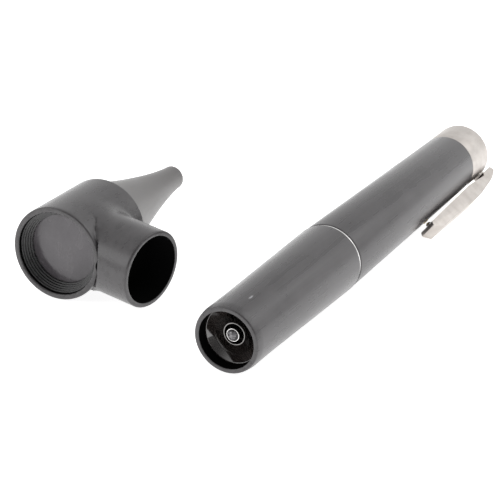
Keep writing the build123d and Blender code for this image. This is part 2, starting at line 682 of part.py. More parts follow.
def speculum():
    end = TUBE_LENGTH + SPECULUM_LENGTH
    outer = flare_curve(range(SPECULUM_STATIONS), 0)
    outer.append((SPECULUM_TIP_R, 0, end - SPECULUM_TIP_ROUND))
    outside = Spline(*outer)
    inside = Spline(*flare_curve(range(SPECULUM_STATIONS + 1), SPECULUM_WALL))
    arc_inset = SPECULUM_TIP_ROUND * (1 - cos(radians(45)))
    tip = ThreePointArc(
        outside @ 1,
        (SPECULUM_TIP_R - arc_inset, 0, end - arc_inset),
        (SPECULUM_TIP_R - SPECULUM_TIP_ROUND, 0, end),
    )
    tip_face = Line(tip @ 1, inside @ 1)
    base = Polyline(
        inside @ 0,
        (flare_radius(0, SPECULUM_WALL), 0, SPIGOT_START),
        (TUBE_FIT_R, 0, SPIGOT_START),
        (TUBE_FIT_R, 0, TUBE_LENGTH),
        outside @ 0,
    )
    return revolve(make_face([outside, tip, tip_face, inside, base]), Axis.Z, 360)


keep_head("head_shell", head_shell())
keep_head("lens", lens())
keep_head("lens_ring", lens_ring())
keep_head("lens_gasket", lens_gasket())
keep_head("mirror_carrier", mirror_carrier())
keep_head("deflector_mirror", deflector_mirror())
keep_head("speculum_seat", tube(
    TUBE_BORE_R, SEAT_RING_INNER_R, SEAT_RING_START, SPIGOT_START - STACK_GAP
))
keep_head("speculum", speculum())

# ---- Origin: centre of the bounding box in plan, on the surface ----------------------------
boxes = [shape.bounding_box() for shape in parts.values()]
low = Vector(min(b.min.X for b in boxes), min(b.min.Y for b in boxes), min(b.min.Z for b in boxes))
high = Vector(max(b.max.X for b in boxes), max(b.max.Y for b in boxes), max(b.max.Z for b in boxes))
shift = Pos(-(low.X + high.X) / 2, -(low.Y + high.Y) / 2, -low.Z)

os.makedirs("parts", exist_ok=True)
for name, shape in parts.items():
    export_step(shift * shape, f"parts/{name}.step")

for label, place in (("handle", shift * handle_place), ("head", shift * head_place)):
    frame = Plane(place)
    print(label, "origin", frame.origin, "x", frame.x_dir, "z", frame.z_dir)
print("lowest point before the shift", round(low.Z, 4), "size", high - low)
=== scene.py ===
import json
import logging
import math
from dataclasses import dataclass, field
from enum import Enum
from typing import Optional, Sequence

import bmesh
import bpy
from mathutils import Matrix, Vector


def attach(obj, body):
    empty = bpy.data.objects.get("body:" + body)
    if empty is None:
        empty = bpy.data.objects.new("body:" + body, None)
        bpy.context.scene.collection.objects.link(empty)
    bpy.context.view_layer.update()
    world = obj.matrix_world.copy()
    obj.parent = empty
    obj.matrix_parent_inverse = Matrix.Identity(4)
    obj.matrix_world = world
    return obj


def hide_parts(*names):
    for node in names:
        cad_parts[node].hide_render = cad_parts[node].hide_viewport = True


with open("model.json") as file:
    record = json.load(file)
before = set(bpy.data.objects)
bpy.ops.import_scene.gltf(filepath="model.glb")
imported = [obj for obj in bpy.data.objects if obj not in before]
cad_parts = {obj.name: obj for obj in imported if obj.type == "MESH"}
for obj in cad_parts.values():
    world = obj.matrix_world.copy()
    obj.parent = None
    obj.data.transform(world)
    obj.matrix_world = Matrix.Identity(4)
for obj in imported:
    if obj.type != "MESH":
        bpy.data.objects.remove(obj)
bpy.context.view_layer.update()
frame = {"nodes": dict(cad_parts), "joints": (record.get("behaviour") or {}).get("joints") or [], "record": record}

log = logging.getLogger("otoscope")

MM = 0.001
SHARP_ANGLE = math.radians(34.0)
# The scuff on the front barrel, in millimetres of the handle's frame.
SCUFF_SPOT = (-3.3, -8.14, 8.02)


class Carve(Enum):
    """How one closed skin is combined with another."""

    JOIN = "UNION"
    CUT = "DIFFERENCE"


class Body(Enum):
    """The bodies that pieces ride on."""

    REAR = "rear_section"
    SLEEVE = "sleeve"
    FRONT = "front_section"
    CLIP = "clip"
    HEAD = "head"
    SPECULUM = "speculum"


@dataclass(frozen=True)
class Corner:
    """A corner of a turned profile, in millimetres: radius, height, and how far its rounding reaches."""

    r: float
    h: float
    rounding: float = 0.0


@dataclass(frozen=True)
class Place:
    """A piece's own frame in the row frame: its origin in metres and two of its axes."""

    origin: Vector
    x: Vector
    z: Vector

    def axes(self) -> Matrix:
        """The frame's three axes, one in each row."""
        return Matrix((self.x, self.z.cross(self.x), self.z))

    def matrix(self) -> Matrix:
        """Matrix that takes a point in the piece's millimetres to the row frame's metres."""
        return Matrix.Translation(self.origin) @ self.axes().transposed().to_4x4() @ Matrix.Scale(MM, 4)


def named(entries: list, name: str) -> dict:
    """Finds the joint or mount of a name in a list of them."""
    return next(entry for entry in entries if entry["name"] == name)


def handle_place() -> Place:
    """Finds the handle's frame from its joints.

    Returns:
        The frame with its origin at the mouth, Z along the handle and X towards the clip.
    """
    screw = named(frame["joints"], "front_unscrew")
    z = -Vector(screw["axis"]).normalized()
    mouth = Vector(screw["pos_m"])
    pin = Vector(named(frame["joints"], "clip_flex")["pos_m"]) - mouth
    x = (pin - pin.dot(z) * z).normalized()
    return Place(mouth, x, z)


def head_place(reach: float, rise: float) -> Place:
    """Finds the head's frame from the socket's mount and the speculum's joint.

    Args:
        reach: millimetres from the line of sight to the socket mount, along the socket.
        rise: millimetres from the eyepiece rim to where the socket's axis crosses.

    Returns:
        The frame with its origin at the eyepiece rim, Z along the line of sight, X to the socket.
    """
    z = Vector(named(frame["joints"], "speculum_pull")["axis"]).normalized()
    socket = named(frame["record"]["mounts"], "handle_socket")
    way = Vector(socket["axis"]).normalized()
    x = (way - way.dot(z) * z).normalized()
    origin = Vector(socket["pos_m"]) - way * reach * MM - z * rise * MM
    return Place(origin, x, z)


# ---- Shaping ----------------------------------------------------------------------------


def wire(bm: bmesh.types.BMesh, corners: Sequence[Corner], closed: bool, arc_steps: int = 4) -> None:
    """Draws a profile in the XZ plane and rounds its corners.

    Args:
        bm: the bmesh to draw in.
        corners: the profile's corners in order.
        closed: whether the last corner joins the first.
        arc_steps: segments in each rounding.
    """
    verts = [bm.verts.new((c.r, 0.0, c.h)) for c in corners]
    links = len(verts) if closed else len(verts) - 1
    for i in range(links):
        bm.edges.new((verts[i], verts[(i + 1) % len(verts)]))
    for vert, corner in zip(verts, corners):
        if corner.rounding > 0:
            bmesh.ops.bevel(
                bm, geom=[vert], offset=corner.rounding, offset_type="ABSOLUTE",
                segments=arc_steps, profile=0.5, affect="VERTICES", material=-1,
            )


def divide(bm: bmesh.types.BMesh, longest: float) -> None:
    """Divides every edge longer than a limit into equal shares.

    Args:
        bm: the bmesh whose edges are divided.
        longest: the limit in the bmesh's own unit.
    """
    for edge in list(bm.edges):
        cuts = math.ceil(edge.calc_length() / longest) - 1
        if cuts > 0:
            bmesh.ops.subdivide_edges(bm, edges=[edge], cuts=cuts)


def spun(
    corners: Sequence[Corner],
    closed: bool = True,
    steps: int = 160,
    longest: Optional[float] = None,
    arc_steps: int = 4,
) -> bmesh.types.BMesh:
    """Spins a profile round the Z axis into a closed skin.

    Args:
        corners: the profile's corners in order; an open profile starts and ends on the axis.
        closed: whether the last corner joins the first.
        steps: segments round the axis.
        longest: longest stretch of the profile between two rings, or None.
        arc_steps: segments in each rounding.

    Returns:
        The skin in millimetres, with its faces outwards.
    """
    bm = bmesh.new()
    wire(bm, corners, closed, arc_steps)
    if longest is not None:
        divide(bm, longest)
    bmesh.ops.spin(
        bm, geom=bm.verts[:] + bm.edges[:], cent=(0, 0, 0), axis=(0, 0, 1), dvec=(0, 0, 0),
        angle=math.tau, steps=steps, use_merge=True, use_duplicate=False,
    )
    bmesh.ops.remove_doubles(bm, verts=bm.verts[:], dist=1e-5)
    bmesh.ops.recalc_face_normals(bm, faces=bm.faces[:])
    return bm


def rod(radius: float, low: float, high: float, steps: int) -> bmesh.types.BMesh:
    """Makes a plain round tool between two heights on the axis."""
    corners = [Corner(0.0, low), Corner(radius, low), Corner(radius, high), Corner(0.0, high)]
    return spun(corners, False, steps)


def block(x: tuple, y: tuple, z: tuple) -> bmesh.types.BMesh:
    """Makes a cutter with square faces between pairs of low and high sides.

    Args:
        x: low and high side along X.
        y: low and high side along Y.
        z: low and high side along Z.

    Returns:
        The cutter in millimetres.
    """
    bm = bmesh.new()
    bmesh.ops.create_cube(bm, size=1.0)
    sizes = [side[1] - side[0] for side in (x, y, z)]
    middles = [(side[0] + side[1]) / 2 for side in (x, y, z)]
    bmesh.ops.scale(bm, vec=sizes, verts=bm.verts[:])
    bmesh.ops.translate(bm, vec=middles, verts=bm.verts[:])
    return bm


def bring(bm: bmesh.types.BMesh, name: str, matrix: Matrix) -> bpy.types.Object:
    """Turns a bmesh into an object whose place is in its mesh.

    Args:
        bm: the skin; it is freed.
        name: the object's name.
        matrix: takes the skin's own frame to the row frame.

    Returns:
        The new object at the origin.
    """
    bm.transform(matrix)
    mesh = bpy.data.meshes.new(name)
    bm.to_mesh(mesh)
    bm.free()
    obj = bpy.data.objects.new(name, mesh)
    bpy.context.scene.collection.objects.link(obj)
    return obj


def combine(target: bpy.types.Object, tool: bpy.types.Object, how: Carve) -> None:
    """Joins a tool to a target or cuts it away, and removes the tool.

    Args:
        target: the piece that is changed.
        tool: the closed skin that is joined or cut away.
        how: which of the two.
    """
    step = target.modifiers.new("carve", "BOOLEAN")
    step.operation = how.value
    step.solver = "EXACT"
    step.object = tool
    graph = bpy.context.evaluated_depsgraph_get()
    result = bpy.data.meshes.new_from_object(target.evaluated_get(graph))
    target.modifiers.clear()
    old = target.data
    target.data = result
    result.name = target.name
    bpy.data.meshes.remove(old)
    spare = tool.data
    bpy.data.objects.remove(tool)
    bpy.data.meshes.remove(spare)


def smooth(obj: bpy.types.Object, angle: float = SHARP_ANGLE) -> None:
    """Shades a piece smoothly, apart from edges that turn more than an angle.

    Args:
        obj: the piece.
        angle: the largest turn that still looks round, in radians.
    """
    bm = bmesh.new()
    bm.from_mesh(obj.data)
    for face in bm.faces:
        face.smooth = True
    for edge in bm.edges:
        edge.smooth = edge.calc_face_angle(0.0) < angle
    bm.to_mesh(obj.data)
    bm.free()


# ---- Finishes ---------------------------------------------------------------------------


class Nodes:
    """A material's node tree with short ways to add to it."""

    def __init__(self, name: str, place: Optional[Place] = None) -> None:
        """Starts a material whose patterns lie in a piece's own frame.

        Args:
            name: the material's name.
            place: the frame whose axes the patterns follow, or None for the row frame.
        """
        self.material = bpy.data.materials.new(name)
        self.material.use_nodes = True
        self.tree = self.material.node_tree
        self.tree.nodes.clear()
        output = self.add("ShaderNodeOutputMaterial")
        self.shader = self.add("ShaderNodeBsdfPrincipled")
        self.feed(output.inputs["Surface"], self.shader.outputs["BSDF"])
        self.coords = self.add("ShaderNodeTexCoord").outputs["Object"]
        if place is not None:
            turn = place.axes()
            self.coords = self.mapped(Rotation=turn.to_euler("XYZ"), Location=-(turn @ place.origin))

    def add(self, kind: str) -> bpy.types.Node:
        """Adds a node of a kind."""
        return self.tree.nodes.new(kind)

    def feed(self, into: bpy.types.NodeSocket, value: object) -> None:
        """Links an input to a socket, or sets it to a constant.

        Args:
            into: the input.
            value: a socket, or a constant of the input's kind.
        """
        if isinstance(value, bpy.types.NodeSocket):
            self.tree.links.new(value, into)
        else:
            into.default_value = value

    def set(self, **values: object) -> None:
        """Feeds the shader's own inputs, with underscores for the spaces in their names."""
        for name, value in values.items():
            self.feed(self.shader.inputs[name.replace("_", " ")], value)

    def mapped(self, **changes: Sequence[float]) -> bpy.types.NodeSocket:
        """Changes the pattern coordinates by a Scale, Rotation or Location.

        Args:
            **changes: the Mapping node's inputs and their values.

        Returns:
            The changed coordinates.
        """
        node = self.add("ShaderNodeMapping")
        self.feed(node.inputs["Vector"], self.coords)
        for name, value in changes.items():
            self.feed(node.inputs[name], value)
        return node.outputs["Vector"]

    def noise(
        self, size: float, detail: float = 3.0, stretch: Sequence[float] = (1.0, 1.0, 1.0)
    ) -> bpy.types.NodeSocket:
        """Adds a noise pattern.

        Args:
            size: millimetres between its blotches.
            detail: octaves of finer noise.
            stretch: scale of the coordinates along each axis.

        Returns:
            The noise between 0 and 1.
        """
        node = self.add("ShaderNodeTexNoise")
        self.feed(node.inputs["Scale"], 1.0 / (size * MM))
        self.feed(node.inputs["Detail"], detail)
        self.feed(node.inputs["Vector"], self.mapped(Scale=stretch))
        return node.outputs["Fac"]

    def span(
        self, value: bpy.types.NodeSocket, low: float, high: float, start: float = 0.3, end: float = 0.7
    ) -> bpy.types.NodeSocket:
        """Maps a pattern from one range to another.

        Args:
            value: the pattern.
            low: result where the pattern is at start.
            high: result where the pattern is at end.
            start: the pattern's value that gives low.
            end: the pattern's value that gives high.

        Returns:
            The mapped value.
        """
        node = self.add("ShaderNodeMapRange")
        limits = {"Value": value, "From Min": start, "From Max": end, "To Min": low, "To Max": high}
        for name, limit in limits.items():
            self.feed(node.inputs[name], limit)
        return node.outputs["Result"]

    def maths(self, kind: str, *values: object, vector: str = "") -> bpy.types.NodeSocket:
        """Adds a Math node, or a Vector Math node.

        Args:
            kind: the operation.
            *values: sockets or constants, in order.
            vector: for Vector Math, the output that is wanted.

        Returns:
            The result.
        """
        node = self.add("ShaderNodeVectorMath" if vector else "ShaderNodeMath")
        node.operation = kind
        for into, value in zip(node.inputs, values):
            self.feed(into, value)
        return node.outputs[vector or "Value"]

    def tint(
        self, share: bpy.types.NodeSocket, first: object, second: Sequence[float]
    ) -> bpy.types.NodeSocket:
        """Mixes two colours by a pattern.

        Args:
            share: 0 gives the first colour and 1 the second.
            first: red, green and blue, or a socket that gives a colour.
            second: red, green and blue.

        Returns:
            The mixed colour.
        """
        node = self.add("ShaderNodeMix")
        node.data_type = "RGBA"
        self.feed(node.inputs[0], share)
        self.feed(node.inputs[6], first if isinstance(first, bpy.types.NodeSocket) else (*first, 1.0))
        self.feed(node.inputs[7], (*second, 1.0))
        return node.outputs[2]

    def bump(self, height: bpy.types.NodeSocket, depth: float, strength: float = 1.0) -> None:
        """Raises the surface by a pattern.

        Args:
            height: the pattern, 0 to 1.
            depth: millimetres between its lowest and highest.
            strength: how strongly the light follows it.
        """
        node = self.add("ShaderNodeBump")
        self.feed(node.inputs["Distance"], depth * MM)
        self.feed(node.inputs["Strength"], strength)
        self.feed(node.inputs["Height"], height)
        self.set(Normal=node.outputs["Normal"])

    def near(self, spot: Sequence[float], reach: float, stretch: Sequence[float]) -> bpy.types.NodeSocket:
        """Marks a small blotch on the piece.

        Args:
            spot: the blotch's centre in the piece's frame, in millimetres.
            reach: its radius in millimetres.
            stretch: scale of the distance along each axis.

        Returns:
            1 at its centre, falling to 0 at its edge.
        """
        arm = self.mapped(Scale=stretch, Location=[-s * MM * k for s, k in zip(spot, stretch)])
        return self.span(self.maths("LENGTH", arm, vector="Value"), 1.0, 0.0, 0.0, reach * MM)

    def inside(self, bore: "ShadedBore") -> bpy.types.NodeSocket:
        """Marks what lies inside a bore, past its start.

        Args:
            bore: the bore, in the piece's frame.

        Returns:
            1 inside it and 0 outside.
        """
        arm = self.maths("SUBTRACT", self.coords, [v * MM for v in bore.start], vector="Vector")
        along = self.maths("DOT_PRODUCT", arm, bore.way, vector="Value")
        across = self.maths("CROSS_PRODUCT", arm, bore.way, vector="Vector")
        near = self.maths("LESS_THAN", self.maths("LENGTH", across, vector="Value"), bore.radius * MM)
        return self.maths("MULTIPLY", near, self.maths("GREATER_THAN", along, 0.0))


@dataclass(frozen=True)
class ShadedBore:
    """A hole whose inside carries painted shade, tinted near-black and without shine: its axis and size, in
    millimetres.
    """

    start: tuple
    way: tuple
    radius: float


@dataclass(frozen=True)
class Finish:
    """A named finish, which subclasses give a pattern."""

    name: str

    def make(self, place: Place) -> bpy.types.Material:
        """Builds the material in a piece's frame.

        Args:
            place: the frame that the pattern follows.

        Returns:
            The material.
        """
        n = Nodes(self.name, place)
        self.paint(n)
        return n.material

    def paint(self, n: Nodes) -> None:
        """Adds the pattern to a material."""
        raise NotImplementedError


@dataclass(frozen=True)
class BlackPlastic(Finish):
    """Moulded black plastic with flow streaks along the piece, a fine skin and light dust."""

    dark: tuple = (0.046, 0.043, 0.045)
    light: tuple = (0.084, 0.079, 0.082)
    roughness: tuple = (0.24, 0.34)
    ior: float = 1.55
    streak: tuple = (1.0, 1.0, 0.03)
    streak_size: float = 1.6
    streak_share: float = 0.6
    cloud_size: float = 7.0
    skin: float = 0.5
    skin_depth: float = 0.002
    skin_strength: float = 0.35
    speck_size: float = 0.35
    dust: float = 0.25
    dust_grey: tuple = (0.42, 0.42, 0.44)
    scuff: Optional[tuple] = None
    scuff_reach: float = 0.5
    scuff_stretch: tuple = (1.7, 1.7, 0.4)
    scuff_grain: float = 0.3
    shaded_bores: tuple = ()
    # painted shade: the near-black colour laid inside the bores
    bore_shade: tuple = (0.004, 0.004, 0.004)
    shine: float = 0.5

    def paint(self, n: Nodes) -> None:
        """Lays streaks, dust, a scuff, and painted shade in the bores (near-black, without shine) over the black.

        Args:
            n: the material's nodes.
        """
        streaks = n.noise(self.streak_size, 3.0, self.streak)
        clouds = n.noise(self.cloud_size, 2.0)
        specks = n.noise(self.speck_size, 2.0)
        streaky = n.maths("MULTIPLY", streaks, self.streak_share)
        mottle = n.maths("ADD", streaky, n.maths("MULTIPLY", clouds, 1.0 - self.streak_share))
        dusty = n.span(specks, 0.0, self.dust, 0.70, 0.80)
        worn = n.maths("MULTIPLY", dusty, n.span(clouds, 0.0, 1.0, 0.45, 0.65))
        if self.scuff is not None:
            fleck = n.near(self.scuff, self.scuff_reach, self.scuff_stretch)
            ragged = n.span(n.noise(self.scuff_grain), 0.3, 3.0, 0.40, 0.60)
            worn = n.maths("MAXIMUM", worn, n.maths("MULTIPLY", fleck, ragged))
        color = n.tint(n.span(mottle, 0.0, 1.0, 0.30, 0.70), self.dark, self.light)
        color = n.tint(n.maths("MINIMUM", worn, 1.0), color, self.dust_grey)
        shine = self.shine
        # painted shade: inside each bore the colour turns near-black and the shine is taken away
        for bore in self.shaded_bores:
            mark = n.inside(bore)
            color = n.tint(mark, color, self.bore_shade)
            shine = n.maths("MULTIPLY", n.maths("SUBTRACT", 1.0, mark), shine)
        roughness = n.span(mottle, *self.roughness, 0.35, 0.65)
        n.set(Base_Color=color, Roughness=roughness, Specular_IOR_Level=shine, IOR=self.ior)
        n.bump(n.noise(self.skin, 1.0), self.skin_depth, self.skin_strength)


@dataclass(frozen=True)
class SatinMetal(Finish):
    """Plated metal with fine brush lines and soft blotches."""

    dark: tuple = (0.50, 0.465, 0.435)
    light: tuple = (0.60, 0.565, 0.535)
    roughness: tuple = (0.34, 0.46)
    cloud_size: float = 3.0
    brush: tuple = (1.0, 1.0, 0.05)
    brush_size: float = 0.25
    brush_depth: float = 0.003

    def paint(self, n: Nodes) -> None:
        """Lays brush lines and blotches over the metal.

        Args:
            n: the material's nodes.
        """
        lines = n.noise(self.brush_size, 3.0, self.brush)
        color = n.tint(n.span(n.noise(self.cloud_size), 0.0, 1.0), self.dark, self.light)
        n.set(Base_Color=color, Roughness=n.span(lines, *self.roughness), Metallic=1.0)
        n.bump(lines, self.brush_depth)


@dataclass(frozen=True)
class PlainStock(Finish):
    """Small inner stock, such as insulators, springs and contacts, with slight unevenness."""

    dark: tuple
    light: tuple
    roughness: tuple = (0.35, 0.55)
    grain: float = 0.6
    depth: float = 0.004

    def paint(self, n: Nodes) -> None:
        """Lays a fine grain over the stock.

        Args:
            n: the material's nodes.
        """
        grain = n.noise(self.grain)
        uneven = n.span(n.noise(self.grain * 3.0, 2.0), *self.roughness)
        n.set(Base_Color=n.tint(n.span(grain, 0.0, 1.0), self.dark, self.light), Roughness=uneven)
        n.bump(grain, self.depth)


@dataclass(frozen=True)
class HazyLens(Finish):
    """Magnifying lens: dark glass seen against a dark tube, with dust and a wiped haze."""

    deep: tuple = (0.080, 0.072, 0.080)
    haze: tuple = (0.135, 0.124, 0.133)
    roughness: tuple = (0.16, 0.34)
    haze_size: float = 5.0
    wipe: tuple = (1.0, 0.6, 1.0)
    speck_size: float = 0.4

    def paint(self, n: Nodes) -> None:
        """Lays the haze and specks of dust over the glass.

        Args:
            n: the material's nodes.
        """
        haze = n.noise(self.haze_size, 4.0, self.wipe)
        specks = n.span(n.noise(self.speck_size, 2.0), 0.0, 1.0, 0.71, 0.78)
        share = n.maths("MINIMUM", n.maths("ADD", n.span(haze, 0.0, 0.8, 0.35, 0.7), specks), 1.0)
        n.set(
            Base_Color=n.tint(share, self.deep, self.haze), Roughness=n.span(haze, *self.roughness),
            IOR=1.52, Coat_Weight=0.3, Coat_Roughness=0.08, Transmission_Weight=0.12,
        )


@dataclass(frozen=True)
class LampGlass(Finish):
    """Smoked lamp envelope with ripples from its forming."""

    deep: tuple = (0.10, 0.095, 0.10)
    clear: tuple = (0.34, 0.33, 0.35)
    roughness: tuple = (0.05, 0.22)
    ripple: float = 0.7
    ripple_depth: float = 0.12

    def paint(self, n: Nodes) -> None:
        """Lays ripples over the glass.

        Args:
            n: the material's nodes.
        """
        ripples = n.noise(self.ripple)
        n.set(
            Base_Color=n.tint(n.span(ripples, 0.0, 1.0, 0.4, 0.6), self.deep, self.clear),
            Roughness=n.span(ripples, *self.roughness),
            IOR=1.5, Coat_Weight=0.6, Coat_Roughness=0.03, Transmission_Weight=0.25,
        )
        n.bump(ripples, self.ripple_depth)


class Palette(Enum):
    """Every finish on the otoscope."""

    BARREL_FRONT = BlackPlastic(
        # painted shade inside the barrel's mouth bore
        "front_barrel_black", scuff=SCUFF_SPOT, shaded_bores=(ShadedBore((0.0, 0.0, 0.2), (0.0, 0.0, 1.0), 7.6),),
    )
    BARREL_REAR = BlackPlastic("rear_barrel_black")
    HEAD_BLACK = BlackPlastic(
        "head_black", streak=(1.0, 1.0, 0.5), streak_size=1.8, dust=0.3,
        # painted shade inside the sight bore and the socket bore
        shaded_bores=(
            ShadedBore((0.0, 0.0, 0.3), (0.0, 0.0, 1.0), 11.4),
            ShadedBore((13.0, 0.0, 8.9), (0.979, 0.0, -0.2045), 9.0),
        ),
    )
    RING_BLACK = BlackPlastic("ring_black", dark=(0.035, 0.034, 0.035), light=(0.05, 0.049, 0.05))
    CONE_BLACK = BlackPlastic(
        "reflector_black", dark=(0.022, 0.018, 0.017), light=(0.036, 0.030, 0.028),
        roughness=(0.05, 0.10), dust=0.15, skin_depth=0.001, ior=2.1,
    )
    SPECULUM_BLACK = BlackPlastic(
        "speculum_black", dark=(0.110, 0.104, 0.102), light=(0.145, 0.138, 0.135), roughness=(0.32, 0.42)
    )
    NICKEL = SatinMetal("satin_nickel")
    CHROME = SatinMetal(
        "bright_plating", dark=(0.72, 0.71, 0.70), light=(0.86, 0.85, 0.84), roughness=(0.08, 0.2)
    )
    STEEL = SatinMetal("spring_steel", dark=(0.42, 0.41, 0.40), light=(0.56, 0.55, 0.54))
    COLLAR = SatinMetal(
        "collar_metal", dark=(0.20, 0.195, 0.19), light=(0.30, 0.29, 0.285), roughness=(0.12, 0.22)
    )
    BRASS = SatinMetal("contact_brass", dark=(0.62, 0.47, 0.22), light=(0.78, 0.62, 0.33))
    FIBRE = PlainStock("insulator_fibre", (0.42, 0.38, 0.32), (0.52, 0.48, 0.41))
    CARRIER = PlainStock("inner_black", (0.018, 0.018, 0.019), (0.032, 0.031, 0.033))
    GASKET = PlainStock("gasket_rubber", (0.016, 0.016, 0.016), (0.028, 0.028, 0.028), (0.7, 0.85))
    JACKET = PlainStock("cell_jacket", (0.36, 0.37, 0.39), (0.46, 0.47, 0.49), (0.3, 0.4))
    MIRROR = SatinMetal("mirror_face", dark=(0.84, 0.84, 0.85), light=(0.9, 0.9, 0.9), roughness=(0.03, 0.07))
    LENS = HazyLens("lens_glass")
    LAMP = LampGlass("lamp_glass")


class Wardrobe:
    """Keeps one material of each finish for each frame."""

    def __init__(self) -> None:
        """Starts with nothing made."""
        self.made: dict[tuple[str, int], bpy.types.Material] = {}

    def material(self, finish: Palette, place: Place) -> bpy.types.Material:
        """Gives a finish's material in a frame, made once.

        Args:
            finish: the finish.
            place: the frame that its pattern follows.

        Returns:
            The material.
        """
        key = (finish.name, id(place))
        if key not in self.made:
            self.made[key] = finish.value.make(place)
        return self.made[key]

    def dress(self, obj: bpy.types.Object, finish: Palette, place: Place) -> None:
        """Puts a finish on every material slot of an object.

        Args:
            obj: the object.
            finish: the finish.
            place: the frame that its pattern follows.
        """
        material = self.material(finish, place)
        if not obj.material_slots:
            obj.data.materials.append(material)
        for holder in obj.material_slots:
            holder.link = "OBJECT"
            holder.material = material


@dataclass
class Assembly:
    """A sub-assembly: a frame, a wardrobe and the pieces made so far."""

    place: Place
    wardrobe: Wardrobe
    pieces: list = field(default_factory=list)

    def keep(self, obj: bpy.types.Object, node: str, body: Body, slot: str, finish: Palette) -> None:
        """Dresses a piece, hides the CAD node that it stands for and lets it ride on its body.

        Args:
            obj: the finished piece.
            node: the CAD node that it stands for.
            body: the body that it rides on.
            slot: the record's material slot; not used.
            finish: the finish.
        """
        self.wardrobe.dress(obj, finish, self.place)
        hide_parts(node)
        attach(obj, body.value)
        self.pieces.append(obj.name)
        log.info("%s: %d faces", obj.name, len(obj.data.polygons))

    def turned(
        self, name: str, corners: Sequence[Corner], closed: bool = True, steps: int = 160,
        matrix: Optional[Matrix] = None,
    ) -> bpy.types.Object:
        """Makes a turned piece in this assembly's frame.

        Args:
            name: the piece's name.
            corners: its profile.
            closed: whether the profile closes on itself.
            steps: segments round the axis.
            matrix: where the piece's own axis lies in this assembly's frame.

        Returns:
            The piece, shaded smoothly.
        """
        bm = spun(corners, closed, steps)
        if matrix is not None:
            bm.transform(matrix)
        obj = bring(bm, name, self.place.matrix())
        smooth(obj)
        return obj

    def carry(self, **stock: Palette) -> None:
        """Gives each named CAD node that is carried over its finish.

        Args:
            **stock: the finish of each node, by the node's name.
        """
        for node, finish in stock.items():
            self.wardrobe.dress(frame["nodes"][node], finish, self.place)
            log.info("%s: carried over", node)


# ---- Handle -----------------------------------------------------------------------------


